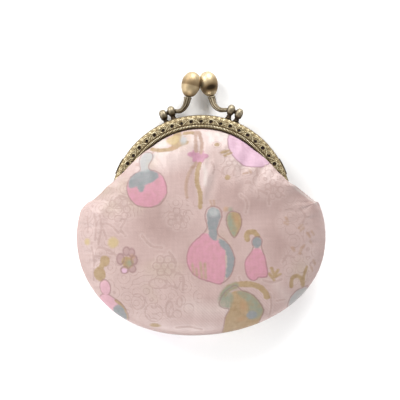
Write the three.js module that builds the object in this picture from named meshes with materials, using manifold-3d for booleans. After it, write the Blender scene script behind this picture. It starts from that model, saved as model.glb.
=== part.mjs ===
// A kiss lock coin purse: two brocade panels sewn into a soft round pouch, hung in a hinged arch frame
// of pressed antique brass, with two ball ended arms that snap past each other above the crown.
// It lies on its back as an empty purse does, resting on the pouch and on one ball of the clasp.
//
// Millimetres. The pieces are drawn in the purse's own frame: the centre of the frame's arch is the
// origin, +X is to the right, +Y is up towards the clasp and +Z is the front. The finished group is then
// tipped to the way it lies, with +Z up and the origin under the middle of its box, on the table.
import * as THREE from "three";
import { mergeVertices } from "three/addons/utils/BufferGeometryUtils.js";
import Module from "manifold-3d";

const wasm = await Module();
wasm.setup();

// Frame sizes
const frameRadius = 42.5; // outside of the arch, an 85 mm frame
const bandHeight = 6.5; // pressed face, from the rim in
const innerWallHeight = 5.9; // wall of the channel that faces the other half
const halfDepth = 4.8; // front to back, each half
const sheet = 0.7; // pressed sheet
const rimRound = 1.9; // the rim's rounded corner
const lipWidth = 1.1; // milled lip along the band's inner edge
const lipHeight = 0.25;
const splitGap = 0.3; // between the closed halves
const clearance = 0.3; // between pieces that touch
const archSteps = 32;

// Pierced holes along the band
const holeRadius = 0.6;
const holePitch = 4.62;
const holeInset = 3.3; // from the rim
const holeSides = 6;

// Hinge sizes
const earRadius = 2.3;
const rivetRadius = 0.9;
const rivetHeadRadius = 1.6;
const rivetHeadHeight = 0.7;
const rivetDrop = 1.0; // of the hinge axis below the arch's centre
const lugFrom = 20; // degrees above the hinge, the back half's guide lugs
const lugTo = 31;
const lugReach = 3.0; // past the closed halves' joint line

// Clasp sizes
const kneeAngles = [17.8, 23.0]; // degrees from the crown, the two feet of each arm
const kneeRadius = 2.7; // disc shaped knuckle on each foot
const kneeThickness = 3.3;
const kneeRise = 3.4; // of the knuckle's centre above the rim
const footRadius = 1.1;
const tenonRadius = 0.7;
const armRadiusLow = 0.95;
const armRadiusHigh = 1.3;
const spigotRadius = 0.85;
const spigotLength = 3.4;
const ballRadius = 4.35;
const ballLength = 12;
const ballOffset = 4.32; // of each ball's centre from the middle
const ballRise = 14.1; // of the balls' centres above the crown
const ballLean = 13; // degrees towards each other
const ballPast = 1.5; // of each ball past the joint line, where the clasp is shut
const ballMouth = 0.955; // of the ball's half length, where its bore opens
// The stem's bow, from the knuckle to the ball: how far out it still is as a share of the way back to the
// knuckle, its height above the rim as a share of the ball's, and how much of the way past the joint line.
const stemBow = [
  { out: 0.47, rise: 0.17, past: 0.25 },
  { out: 0.17, rise: 0.31, past: 0.65 },
];

// Pouch sizes
const clothThick = 1.6; // brocade, interlining and lining as one wall
const edgeThick = 2.8; // the edge rolled round its cord inside the channel
const pouchHalfWidth = 58.4;
const bellyDrop = 14.6; // of the widest line below the arch's centre
const pouchDrop = 60.9; // of the bottom below the arch's centre
const pouchFullness = 2.08; // exponent of the lower outline
const bottomLean = 3.8; // of the bottom to the left
const frontDepth = 12.2; // of the front panel's crown in front of the joint line
const backDepth = 12.2; // of the back panel, before the table flattens it
const domeFullness = 2.35;
const domeDrop = 10; // of the panels' crowns below the arch's centre
const mouthClear = 0.45; // between the cloth and the band's inner edge
const rollUnder = 0.8; // clear of the band's face, where the cloth rolls over the frame
const rollRise = 2.9; // of the roll's edge in front of the band's face
const rollTuck = 2.2; // of the roll's underside behind its edge
const seamRise = 1.3; // of the panel's edge in front of the seam
const seamTuck = 0.5; // of the seam itself behind the panel's edge
const restTilt = 4.2; // degrees, as it lies
const patchEase = 1.2; // how softly the flattened patch begins
const archRibs = 16; // of each side of a panel, along the arch
const seamRibs = 13; // and along the seam
const domeRows = 6;

// Where the front edge of the cloth shows against the frame: 0 is at the band's inner edge, 1 at the rim
// and 2 at the shoulder's corner, with the degrees above the hinge where it is there on each side.
const clothEdge = [
  { reach: 0, right: 47, left: 50 },
  { reach: 0.14, right: 41, left: 43 },
  { reach: 0.29, right: 33.5, left: 34 },
  { reach: 0.55, right: 22, left: 22.5 },
  { reach: 1, right: 14.2, left: 14.8 },
  { reach: 1.31, right: 9.6, left: 7.6 },
  { reach: 1.58, right: 6.3, left: 3.4 },
  { reach: 1.84, right: 3, left: 0.6 },
];

// The height of the shoulders' corners on the outline, as a share of the pouch's half width.
const shoulders = [
  { side: 1, up: 0.03 },
  { side: -1, up: -0.03 },
];

// Soft dents of the front panel: place, direction and size as shares of the pouch's half width, and
// depth as a share of the front's depth.
const dents = [
  { x: 0.1, y: 0.38, turn: -72, length: 0.34, width: 0.07, depth: 0.09 },
  { x: -0.02, y: 0.42, turn: -100, length: 0.26, width: 0.06, depth: 0.06 },
  { x: 0.72, y: 0.05, turn: -10, length: 0.3, width: 0.06, depth: 0.07 },
  { x: 0.7, y: -0.12, turn: -4, length: 0.28, width: 0.05, depth: 0.04 },
  { x: -0.7, y: 0.1, turn: 18, length: 0.3, width: 0.07, depth: 0.06 },
];

const rad = THREE.MathUtils.degToRad;
const mix = THREE.MathUtils.lerp;
const smooth = THREE.MathUtils.smoothstep;
const mouthRadius = frameRadius - bandHeight;
const faceZ = splitGap / 2 + halfDepth;
const channelMid = splitGap / 2 + halfDepth / 2;

// Materials
const antiqueBrass = new THREE.MeshStandardMaterial({ color: 0x8f7c4f, roughness: 0.38, metalness: 0.95 });
const polishedBrass = new THREE.MeshStandardMaterial({ color: 0xa08c60, roughness: 0.3, metalness: 0.95 });
const pinkBrocade = new THREE.MeshStandardMaterial({ color: 0xdfbfb9, roughness: 0.75, metalness: 0 });

// A three.js geometry as a solid that can be cut and joined.
function solid(geometry) {
  const bare = geometry.clone().deleteAttribute("normal").deleteAttribute("uv");
  const merged = mergeVertices(bare, 1e-4);
  return new wasm.Manifold(
    new wasm.Mesh({
      numProp: 3,
      vertProperties: merged.attributes.position.array,
      triVerts: new Uint32Array(merged.index.array),
    }),
  );
}

function geometryOf(made) {
  const { vertProperties, triVerts } = made.getMesh();
  const geometry = new THREE.BufferGeometry();
  geometry.setAttribute("position", new THREE.BufferAttribute(vertProperties, 3));
  geometry.setIndex(new THREE.BufferAttribute(triVerts, 1));
  geometry.computeVertexNormals();
  return geometry;
}

const joined = (solids) => solids.reduce((whole, one) => whole.add(one));

// A round bar between two points.
function bar(from, to, radius, sides = 8) {
  const run = to.clone().sub(from);
  const geometry = new THREE.CylinderGeometry(radius, radius, run.length(), sides);
  geometry.applyQuaternion(
    new THREE.Quaternion().setFromUnitVectors(new THREE.Vector3(0, 1, 0), run.clone().normalize()),
  );
  geometry.translate(...from.clone().add(to).multiplyScalar(0.5).toArray());
  return solid(geometry);
}

// A point at an angle in degrees anticlockwise from +X about the arch's centre.
function polar(angle, radius, z) {
  return new THREE.Vector3(Math.cos(rad(angle)) * radius, Math.sin(rad(angle)) * radius, z);
}

// The arch from one angle to another as a path, clockwise, so that a section's x runs to the back and
// its y runs outwards.
class Arch extends THREE.Curve {
  constructor(from, to) {
    super();
    Object.assign(this, { from, to });
  }
  getPoint(share, target = new THREE.Vector3()) {
    return target.copy(polar(mix(this.from, this.to, share), frameRadius, 0));
  }
  getTangent(share, target = new THREE.Vector3()) {
    return target.copy(polar(mix(this.from, this.to, share) - 90, 1, 0));
  }
}

// A flat section swept along the arch. Its points are given as distance in from the rim and height in
// front of the joint line.
function archBar(section, from, to, steps) {
  const shape = new THREE.Shape(section.map(({ inset, z }) => new THREE.Vector2(-z, -inset)));
  const path = new Arch(from, to);
  return solid(new THREE.ExtrudeGeometry(shape, { steps, extrudePath: path, bevelEnabled: false }));
}

// The U shaped channel of one half, drawn for the front.
function channelSection() {
  const rim = (turns, round, inset, outer) =>
    turns.map((turn) => ({
      inset: inset + round * (1 - Math.sin(rad(turn))),
      z: outer - round * (1 - Math.cos(rad(turn))),
    }));
  return [
    { inset: bandHeight, z: faceZ + lipHeight },
    { inset: bandHeight - lipWidth, z: faceZ + lipHeight },
    { inset: bandHeight - lipWidth, z: faceZ },
    ...rim([0, 45, 90], rimRound, 0, faceZ),
    { inset: 0, z: splitGap / 2 },
    { inset: innerWallHeight, z: splitGap / 2 },
    { inset: innerWallHeight, z: splitGap / 2 + sheet },
    { inset: sheet, z: splitGap / 2 + sheet },
    ...rim([90, 0], rimRound - sheet, sheet, faceZ - sheet),
    { inset: bandHeight, z: faceZ - sheet },
  ];
}

// Where the pierced holes are: one at the crown and the rest on both sides of it.
function holeAngles() {
  const radius = frameRadius - holeInset;
  const step = THREE.MathUtils.radToDeg(holePitch / radius);
  const side = Math.floor((90 - step / 2) / step);
  return Array.from({ length: 2 * side + 1 }, (_, i) => 90 + (i - side) * step);
}

// One half of the frame, drawn for the front. Its ears turn on the rivets: the front half's stand inside
// the back half's.
function frameHalf({ outerEars, feetSide }) {
  const pieces = [archBar(channelSection(), 180, 0, archSteps)];
  const cuts = holeAngles().map((angle) =>
    bar(
      polar(angle, frameRadius - holeInset, faceZ - 2 * sheet),
      polar(angle, frameRadius - holeInset, faceZ + 2 * sheet),
      holeRadius,
      holeSides,
    ),
  );
  const earIn = outerEars ? frameRadius + clearance : frameRadius - sheet;
  for (const side of [-1, 1]) {
    const across = (x) => new THREE.Vector3(side * x, -rivetDrop, 0);
    pieces.push(bar(across(earIn), across(earIn + sheet), earRadius, 12));
    const neck = new THREE.BoxGeometry(sheet, earRadius + rivetDrop, faceZ - rimRound);
    const rise = (faceZ - rimRound) / 2 + splitGap / 2;
    neck.translate(side * (earIn + sheet / 2), (earRadius - rivetDrop) / 2, rise);
    pieces.push(solid(neck));
    const rivetEnd = frameRadius - sheet - rivetHeadHeight - 2 * clearance;
    cuts.push(bar(across(rivetEnd), across(frameRadius + 2 * sheet), rivetRadius + clearance, 12));
    cuts.push(bar(across(rivetEnd), across(frameRadius - sheet), rivetHeadRadius + clearance, 12));
    if (outerEars) {
      cuts.push(bar(across(frameRadius - sheet - clearance), across(earIn), earRadius + clearance, 12));
      const root = new THREE.BoxGeometry(sheet + 2 * clearance, earRadius, faceZ - rimRound - splitGap);
      root.translate(side * (frameRadius + clearance / 2), earRadius / 2, (faceZ - rimRound) / 2 + splitGap);
      pieces.push(solid(root));
      pieces.push(...guideLug(side));
    }
  }
  for (const angle of kneeAngles) {
    const at = 90 - feetSide * angle;
    const [inside, outside] = [-2 * sheet, sheet].map((past) => polar(at, frameRadius + past, channelMid));
    cuts.push(bar(inside, outside, tenonRadius + clearance));
  }
  return joined(pieces).subtract(joined(cuts));
}

// A lug of the back half that laps over the front half's rim and keeps the two in line when they close.
function guideLug(side) {
  const [from, to] = side > 0 ? [lugTo, lugFrom] : [180 - lugFrom, 180 - lugTo];
  const top = faceZ - rimRound;
  const root = [
    { inset: sheet / 2, z: top },
    { inset: -clearance - sheet, z: top },
    { inset: -clearance - sheet, z: splitGap / 2 },
    { inset: sheet / 2, z: splitGap / 2 },
  ];
  const lap = [
    { inset: -clearance, z: top },
    { inset: -clearance - sheet, z: top },
    { inset: -clearance - sheet, z: -lugReach },
    { inset: -clearance, z: -lugReach },
  ];
  return [root, lap].map((section) => archBar(section, from, to, 3));
}

// A half turned to the back: the front half's drawing mirrored in the joint line.
const toBack = (made) => made.mirror([0, 0, 1]);

// Rings of points lofted into one closed solid. Each ring has as many points as the next.
function loft(rings, { closed = false } = {}) {
  const count = rings[0].length;
  const points = rings.flat();
  const index = [];
  const last = closed ? rings.length : rings.length - 1;
  for (let i = 0; i < last; i++) {
    const here = i * count;
    const next = ((i + 1) % rings.length) * count;
    for (let j = 0; j < count; j++) {
      const k = (j + 1) % count;
      index.push(here + j, here + k, next + j, here + k, next + k, next + j);
    }
  }
  if (!closed) {
    const start = points.push(centreOf(rings[0])) - 1;
    const end = points.push(centreOf(rings[rings.length - 1])) - 1;
    const far = (rings.length - 1) * count;
    for (let j = 0; j < count; j++) {
      const k = (j + 1) % count;
      index.push(start, k, j, end, far + j, far + k);
    }
  }
  const geometry = new THREE.BufferGeometry().setFromPoints(points);
  geometry.setIndex(index);
  return geometry;
}

const centreOf = (ring) =>
  ring.reduce((sum, p) => sum.add(p), new THREE.Vector3()).divideScalar(ring.length);

// Ball of the clasp: an egg shaped bead, narrow end down, with a blind bore that the arm is pressed into.
// Its own frame has +Y along its length.
function ballGeometry() {
  const half = ballLength / 2;
  const egg = (u) => ballRadius * Math.sqrt(Math.max(0, 1 - u * u)) * (1 + 0.07 * u);
  const bore = spigotRadius + clearance;
  const profile = [
    new THREE.Vector2(0, spigotLength + clearance - half * ballMouth),
    new THREE.Vector2(bore, spigotLength + clearance - half * ballMouth),
    new THREE.Vector2(bore, -half * ballMouth),
  ];
  const bands = 9;
  for (let i = 0; i < bands; i++) {
    const u = -Math.cos(mix(Math.acos(ballMouth), Math.PI, i / bands));
    profile.push(new THREE.Vector2(egg(u), half * u));
  }
  profile.push(new THREE.Vector2(0, half));
  return new THREE.LatheGeometry(profile, 14);
}

// Where the ball of the arm on one side sits. The front half's ball leans back past the joint line, and
// the back half's leans forward.
function ballPlace(side) {
  const at = new THREE.Vector3(side * ballOffset, frameRadius + ballRise, -side * ballPast);
  const up = new THREE.Vector3(-side * Math.sin(rad(ballLean)), Math.cos(rad(ballLean)), 0);
  return { at, up };
}

// One arm of the clasp, cast in one piece: two feet peened through the rim, a knuckle over each foot and
// a stem that bows up to the ball. side is 1 for the arm on the right, which the front half carries.
function clasp(side) {
  const z = side * channelMid;
  const knees = kneeAngles.map((angle) => polar(90 - side * angle, frameRadius + kneeRise, z));
  const pieces = kneeAngles.flatMap((angle, i) => {
    const at = 90 - side * angle;
    const disc = new THREE.SphereGeometry(kneeRadius, 10, 7);
    disc.rotateZ(Math.PI / 2).scale(kneeThickness / 2 / kneeRadius, 1, 1);
    disc.rotateZ(rad(at - 90)).translate(...knees[i].toArray());
    return [
      solid(disc),
      bar(polar(at, frameRadius + clearance, z), knees[i], footRadius),
      bar(polar(at, frameRadius - sheet - clearance, z), knees[i], tenonRadius, 6),
    ];
  });
  const { at, up } = ballPlace(side);
  const neck = at.clone().addScaledVector(up, -ballMouth * (ballLength / 2) - clearance);
  const tip = neck.clone().addScaledVector(up, spigotLength);
  const bow = new THREE.CatmullRomCurve3([
    knees[1],
    knees[0],
    ...stemBow.map(
      ({ out, rise, past }) =>
        new THREE.Vector3(
          mix(neck.x, knees[0].x, out),
          frameRadius + rise * ballRise,
          mix(z, at.z, past),
        ),
    ),
    neck.clone().addScaledVector(up, -armRadiusHigh),
    neck,
  ]);
  const steps = 12;
  const frames = bow.computeFrenetFrames(steps);
  const rings = Array.from({ length: steps + 1 }, (_, i) =>
    ringAbout(
      bow.getPointAt(i / steps),
      frames.normals[i],
      frames.binormals[i],
      mix(armRadiusLow, armRadiusHigh, smooth(i / steps, 0.4, 1)),
    ),
  );
  return joined([...pieces, solid(loft(rings)), bar(neck, tip, spigotRadius)]);
}

function ringAbout(centre, across, along, radius, sides = 8) {
  return Array.from({ length: sides }, (_, i) => {
    const turn = (i / sides) * 2 * Math.PI;
    return centre
      .clone()
      .addScaledVector(across, radius * Math.cos(turn))
      .addScaledVector(along, radius * Math.sin(turn));
  });
}

// Hinge rivet, its shank along X through both ears.
function rivetGeometry() {
  const inner = frameRadius - sheet - clearance;
  const outer = frameRadius + clearance + sheet + clearance;
  const profile = [
    [0, inner - rivetHeadHeight],
    [rivetHeadRadius * 0.8, inner - rivetHeadHeight],
    [rivetHeadRadius, inner],
    [rivetRadius, inner],
    [rivetRadius, outer],
    [rivetHeadRadius, outer],
    [rivetHeadRadius * 0.75, outer + rivetHeadHeight * 0.75],
    [0, outer + rivetHeadHeight],
  ];
  const points = profile.map(([radius, along]) => new THREE.Vector2(radius, along));
  return new THREE.LatheGeometry(points, 10).rotateZ(-Math.PI / 2);
}

// The lower outline on one side at a height: a full round curve whose bottom leans to the left.
function outlineAt(y, side) {
  const down = (-bellyDrop - y) / (pouchDrop - bellyDrop);
  const across = pouchHalfWidth * Math.max(0, 1 - Math.abs(down) ** pouchFullness) ** (1 / pouchFullness);
  return new THREE.Vector3(side * across - bottomLean * Math.max(0, down) ** 3, y, 0);
}

// The shoulder's corner on one side, where the seam round the pouch begins.
function cornerOf(side) {
  const shoulder = shoulders.find((row) => row.side === side);
  return outlineAt(shoulder.up * pouchHalfWidth, side);
}

// The cloth's edge against the frame at an angle above the hinge, as a distance from the arch's centre.
function clothReach(above, side) {
  const column = side > 0 ? "right" : "left";
  const next = clothEdge.findIndex((row) => row[column] <= above);
  const [a, b] = [clothEdge[Math.max(0, next - 1)], clothEdge[next]];
  const share = next === 0 ? 1 : (a[column] - above) / (a[column] - b[column]);
  const reach = mix(a.reach, b.reach, share);
  if (reach <= 1) return mix(mouthRadius - mouthClear, frameRadius, reach);
  return mix(frameRadius, cornerOf(side).length(), reach - 1);
}

// How far the front panel's surface sinks at a place.
function dentAt(x, y) {
  return dents.reduce((sum, dent) => {
    const [dx, dy] = [x / pouchHalfWidth - dent.x, y / pouchHalfWidth - dent.y];
    const [c, s] = [Math.cos(rad(dent.turn)), Math.sin(rad(dent.turn))];
    const along = (dx * c + dy * s) / dent.length;
    const across = (-dx * s + dy * c) / dent.width;
    return sum + dent.depth * frontDepth * Math.exp(-2 * along * along - across * across);
  }, 0);
}

// A rib of a panel runs from the cloth's edge to the panel's crown. These give its first five points, for
// the outer face (wall 0) or the lining face (wall 1): two in the channel or at the seam, two on the way
// out, and the last where the rib turns over.
function archRib(above, side, wall) {
  const angle = side > 0 ? above : 180 - above;
  const reach = clothReach(above, side);
  const mouth = mouthRadius - mouthClear;
  const over = smooth(reach, mouth, frameRadius - rimRound);
  const past = smooth(reach, frameRadius + 1, cornerOf(side).length() - 2);
  const back = wall * clothThick;
  const lower = channelMid + (0.5 - wall) * edgeThick;
  const under = faceZ + over * rollUnder;
  const tuck = mix(mouth - back, Math.min(reach - rollTuck, frameRadius + sheet) - 0.2 * back, over);
  const turn = mix(mix(faceZ + lipHeight, faceZ + rollRise, over), seamRise, past);
  return [
    polar(angle, frameRadius - rimRound - clearance, lower),
    polar(angle, mouth - 0.85 * back, lower + 0.5 * back),
    polar(angle, mouth - back, under - clearance + 0.4 * back),
    polar(angle, tuck, under + mix(0.4, 1, over) * back),
    polar(angle, reach - back, turn + 0.1 * back),
  ];
}

// Along the seam the wall just turns over, from the seam to the panel's edge.
function seamRib(point, wall) {
  const outward = point.clone().setY(point.y + bellyDrop).normalize();
  const back = wall * 1.05 * clothThick;
  return [1, 0.7, 0.4, 0.16, 0].map((share, i) => {
    const z = mix(splitGap / 2, seamRise, (i / 4) ** 1.3);
    return point.clone().addScaledVector(outward, -share * seamTuck - back).setZ(z);
  });
}

// Between the frame's end and the shoulder's corner the cloth ducks under the hinge: each of a rib's five
// lower points takes a curve there, drawn to a place given across and down as shares of the frame's
// radius and forward as a share of the half's depth. lining is how far in front of it the lining's is,
// as a share of the cloth's thickness.
const detours = [
  { across: 0.84, down: 0.3, forward: 0.25, lining: -0.9 },
  { across: 0.78, down: 0.32, forward: 0.65, lining: 0 },
  { across: 0.8, down: 0.3, forward: 1.15, lining: 0.6 },
  { across: 1.08, down: 0.08, forward: 1.15, lining: 1 },
  { across: 1.29, down: -0.03, forward: 0.28, lining: 0.2 },
];

function shoulderRib(share, side, arch, seam, wall) {
  return arch.map((start, i) => {
    const { across, down, forward, lining } = detours[i];
    const middle = new THREE.Vector3(
      side * (across * frameRadius - 0.6 * wall * clothThick),
      -down * frameRadius,
      forward * faceZ + wall * lining * clothThick,
    );
    return new THREE.QuadraticBezierCurve3(start, middle, seam[i]).getPoint(share);
  });
}

// The ribs of one side of a panel, from the crown of the arch round to the middle of the bottom. They
// stand closer towards the hinge, where the cloth turns most.
function sideRibs(side, wall) {
  const corner = cornerOf(side);
  const arch = Array.from({ length: archRibs + 1 }, (_, i) =>
    archRib(mix(3, 90, (1 - i / archRibs) ** 1.25), side, wall),
  );
  const seamStart = seamRib(corner, wall);
  const duck = [0.2, 0.4, 0.6, 0.8].map((share) =>
    shoulderRib(share, side, arch[archRibs], seamStart, wall),
  );
  const depth = pouchDrop - bellyDrop;
  const startTurn = -Math.asin(((corner.y + bellyDrop) / depth) ** (pouchFullness / 2));
  const seam = Array.from({ length: seamRibs + 1 }, (_, i) => {
    const turn = mix(startTurn, Math.PI / 2, i / seamRibs);
    const y = -bellyDrop - depth * Math.sign(turn) * Math.abs(Math.sin(turn)) ** (2 / pouchFullness);
    return seamRib(outlineAt(y, side), wall);
  });
  return [...arch, ...duck, ...seam];
}

// A whole panel's face: the lower points of each rib and then the dome up to the crown. depthAt turns a
// dome height into the height that the place really has.
function panelFace(wall, depth, depthAt) {
  const right = sideRibs(1, wall);
  const left = sideRibs(-1, wall);
  const ribs = [...right, ...left.slice(1, -1).reverse()];
  const crown = new THREE.Vector3(0, -domeDrop, depth - wall * clothThick);
  return ribs.map((lower) => {
    const edge = lower[lower.length - 1];
    const dome = Array.from({ length: domeRows - 1 }, (_, i) => {
      const turn = ((i + 1) / domeRows) * (Math.PI / 2);
      const out = Math.cos(turn) ** (2 / domeFullness);
      const up = Math.sin(turn) ** (2 / domeFullness);
      return crown.clone().lerp(edge, out).setZ(mix(edge.z, crown.z, up));
    });
    return [...lower, ...dome].map((p) => p.clone().setZ(depthAt(p, wall)));
  });
}

// The two faces of a panel joined along the cloth's edge into one wall. turned is true for the back.
function panelGeometry(depth, depthAt, turned) {
  const faces = [0, 1].map((wall) => panelFace(wall, depth, depthAt));
  const [ribs, rows] = [faces[0].length, faces[0][0].length];
  const points = faces.flat(2);
  const crowns = [0, 1].map((wall) => {
    const crown = new THREE.Vector3(0, -domeDrop, depth - wall * clothThick);
    return points.push(crown.setZ(depthAt(crown, wall))) - 1;
  });
  const at = (wall, i, j) => wall * ribs * rows + (i % ribs) * rows + j;
  const index = [];
  const quad = (a, b, c, d) => index.push(a, b, c, a, c, d);
  for (let i = 0; i < ribs; i++) {
    for (let j = 0; j < rows - 1; j++) {
      quad(at(0, i, j), at(0, i + 1, j), at(0, i + 1, j + 1), at(0, i, j + 1));
      quad(at(1, i, j), at(1, i, j + 1), at(1, i + 1, j + 1), at(1, i + 1, j));
    }
    quad(at(0, i, 0), at(1, i, 0), at(1, i + 1, 0), at(0, i + 1, 0));
    index.push(at(0, i, rows - 1), at(0, i + 1, rows - 1), crowns[0]);
    index.push(at(1, i + 1, rows - 1), at(1, i, rows - 1), crowns[1]);
  }
  // Ribs run clockwise as seen from the front, so the outer face's triangles are turned round.
  for (let i = 0; i < index.length; i += 3) {
    if (!turned) [index[i + 1], index[i + 2]] = [index[i + 2], index[i + 1]];
  }
  const geometry = new THREE.BufferGeometry().setFromPoints(
    points.map((p) => (turned ? p.clone().setZ(-p.z) : p)),
  );
  geometry.setIndex(index);
  geometry.computeVertexNormals();
  return geometry;
}

// Front face: the dome less its dents, which fade out towards the cloth's edge.
function frontHeight(p, wall) {
  const fade = smooth(p.z + wall * clothThick, faceZ, frontDepth * 0.8);
  return p.z - fade * dentAt(p.x, p.y);
}

// Back face: the table flattens what would reach below it. table gives the table's distance behind the
// joint line at a height on the purse.
function backHeight(table) {
  return (p, wall) => {
    const limit = table(p.y) - wall * clothThick;
    const over = p.z - limit;
    if (over >= patchEase) return limit;
    if (over <= -patchEase) return p.z;
    return p.z - (over + patchEase) ** 2 / (4 * patchEase);
  };
}

const purse = new THREE.Group();

function add(name, geometry, material) {
  const mesh = new THREE.Mesh(geometry, material);
  mesh.name = name;
  purse.add(mesh);
  return mesh;
}

// Frame halves, rivets, arms and balls
add("frame_front", geometryOf(frameHalf({ outerEars: false, feetSide: 1 })), antiqueBrass);
add("frame_back", geometryOf(toBack(frameHalf({ outerEars: true, feetSide: -1 }))), antiqueBrass);
for (const [name, side] of [["rivet_right", 1], ["rivet_left", -1]]) {
  const rivet = add(name, rivetGeometry(), polishedBrass);
  rivet.position.y = -rivetDrop;
  rivet.rotation.z = side > 0 ? 0 : Math.PI;
}
for (const [half, side] of [["front", 1], ["back", -1]]) {
  add("clasp_arm_" + half, geometryOf(clasp(side)), antiqueBrass);
  const ball = add("clasp_ball_" + half, ballGeometry(), polishedBrass);
  const { at, up } = ballPlace(side);
  ball.position.copy(at);
  ball.quaternion.setFromUnitVectors(new THREE.Vector3(0, 1, 0), up);
}

// The purse lies tipped, so that the lower ball touches the table with the pouch's back.
purse.rotation.x = -rad(restTilt);
purse.updateMatrixWorld(true);
const tableZ = new THREE.Box3().setFromObject(purse.getObjectByName("clasp_ball_front"), true).min.z;
const tableBehind = (y) => (-tableZ - y * Math.sin(rad(restTilt))) / Math.cos(rad(restTilt));

// Panels of the pouch
add("panel_front", panelGeometry(frontDepth, frontHeight, false), pinkBrocade);
add("panel_back", panelGeometry(backDepth, backHeight(tableBehind), true), pinkBrocade);

// Set down on the table, with the origin under the middle of its box
const box = new THREE.Box3().setFromObject(purse, true);
const middle = box.getCenter(new THREE.Vector3());
purse.position.set(-middle.x, -middle.y, -tableZ);
const part = new THREE.Group();
part.add(purse);

export default part;
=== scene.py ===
import math

import bmesh
import bpy
import numpy as np
from mathutils import Matrix, Vector


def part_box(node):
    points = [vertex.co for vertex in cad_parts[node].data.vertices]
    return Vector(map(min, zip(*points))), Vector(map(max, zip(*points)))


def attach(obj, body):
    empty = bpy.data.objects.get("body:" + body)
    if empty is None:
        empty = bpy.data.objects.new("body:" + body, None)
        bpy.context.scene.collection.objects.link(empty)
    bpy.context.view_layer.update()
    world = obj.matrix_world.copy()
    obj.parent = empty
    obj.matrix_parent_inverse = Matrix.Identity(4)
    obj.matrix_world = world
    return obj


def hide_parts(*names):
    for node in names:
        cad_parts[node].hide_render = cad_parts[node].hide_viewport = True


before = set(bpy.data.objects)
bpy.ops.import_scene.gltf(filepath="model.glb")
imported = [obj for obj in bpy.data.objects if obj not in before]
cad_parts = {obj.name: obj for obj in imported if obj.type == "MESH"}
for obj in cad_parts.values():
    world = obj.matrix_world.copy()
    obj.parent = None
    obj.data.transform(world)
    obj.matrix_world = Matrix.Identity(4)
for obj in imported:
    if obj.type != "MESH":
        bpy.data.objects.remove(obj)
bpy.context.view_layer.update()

# How the purse lies: on its back on a pale studio table, tipped so that one ball of the clasp touches
# the table with the pouch. Pieces are drawn in the purse's own frame, in millimetres from the centre of
# its arch (+X right, +Y up to the clasp, +Z the front), and the hinge rivets say where that frame is.
lying_tilt = 4.2
rivet_drop = 1.0


def middle_of(node):
    low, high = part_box(node)
    return (low + high) / 2


hinge = (middle_of("rivet_right") + middle_of("rivet_left")) / 2
tipped = Matrix.Rotation(-math.radians(lying_tilt), 4, "X") @ Matrix.Scale(0.001, 4)
purse_to_part = Matrix.Translation(hinge - tipped @ Vector((0, -rivet_drop, 0))) @ tipped


def new_material(name):
    """A material, its node tree and its shader."""
    material = bpy.data.materials.new(name)
    material.use_nodes = True
    return material, material.node_tree, material.node_tree.nodes["Principled BSDF"]


def add_node(tree, kind, inputs=None, **settings):
    made = tree.nodes.new("ShaderNode" + kind)
    for name, value in settings.items():
        setattr(made, name, value)
    for socket, value in (inputs or {}).items():
        if isinstance(value, bpy.types.NodeSocket):
            tree.links.new(value, made.inputs[socket])
        else:
            made.inputs[socket].default_value = value
    return made


def maths(tree, operation, *values):
    return add_node(tree, "Math", dict(enumerate(values)), operation=operation).outputs[0]


def blended(tree, share, first, second, mode="MIX"):
    inputs = {0: share, 6: first, 7: second}
    return add_node(tree, "Mix", inputs, data_type="RGBA", blend_type=mode).outputs[2]


def noise_of(tree, place, scale, detail=3.0, roughness=0.5, stretch=(1, 1, 1)):
    moved = add_node(tree, "Mapping", {"Vector": place, "Scale": stretch})
    inputs = {"Vector": moved.outputs[0], "Scale": scale, "Detail": detail, "Roughness": roughness}
    return add_node(tree, "TexNoise", inputs).outputs[0]


def ranged(tree, value, low, high, to_low=0.0, to_high=1.0):
    inputs = {"Value": value, "From Min": low, "From Max": high, "To Min": to_low, "To Max": to_high}
    return add_node(tree, "MapRange", inputs).outputs[0]


def bumped(tree, height, strength, distance):
    inputs = {"Height": height, "Strength": strength, "Distance": distance}
    return add_node(tree, "Bump", inputs).outputs[0]


# Table top: smooth white paper with a very faint grain.
table_material, tree, shader = new_material("white_paper")
place = add_node(tree, "TexCoord").outputs["Object"]
grain = noise_of(tree, place, 900)
white = blended(tree, grain, (0.955, 0.955, 0.955, 1), (0.985, 0.985, 0.985, 1))
tree.links.new(white, shader.inputs["Base Color"])
tree.links.new(bumped(tree, grain, 0.03, 0.0002), shader.inputs["Normal"])
shader.inputs["Roughness"].default_value = 0.9
bm = bmesh.new()
bmesh.ops.create_grid(bm, x_segments=4, y_segments=4, size=1.5)
table_mesh = bpy.data.meshes.new("table_top")
bm.to_mesh(table_mesh)
bm.free()
table_mesh.materials.append(table_material)
table_top = bpy.data.objects.new("table_top", table_mesh)
bpy.context.scene.collection.objects.link(table_top)

# Studio light: soft boxes all round, low over the table and strongest up to the left, in a pale room, so
# that the flat of the cloth is a little darker than what slopes away and almost no shadow is left.
soft_boxes = [
    {"name": "top_left", "place": (-0.50, 0.46, 0.40), "size": 0.42, "watts": 5.2},
    {"name": "top", "place": (0.16, 0.66, 0.34), "size": 0.40, "watts": 6.6},
    {"name": "left", "place": (-0.72, -0.12, 0.30), "size": 0.36, "watts": 2.7},
    {"name": "bottom", "place": (-0.08, -0.66, 0.34), "size": 0.40, "watts": 5.0},
    {"name": "right", "place": (0.70, -0.05, 0.34), "size": 0.36, "watts": 1.3},
]
for row in soft_boxes:
    light = bpy.data.lights.new(row["name"], "AREA")
    light.energy = row["watts"]
    light.size = row["size"]
    soft_box = bpy.data.objects.new(row["name"], light)
    soft_box.location = row["place"]
    soft_box.rotation_euler = (-Vector(row["place"])).to_track_quat("-Z", "Y").to_euler()
    bpy.context.scene.collection.objects.link(soft_box)
room = bpy.data.worlds.new("room")
room.use_nodes = True
room.node_tree.nodes["Background"].inputs[0].default_value = (1, 1, 1, 1)
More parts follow.
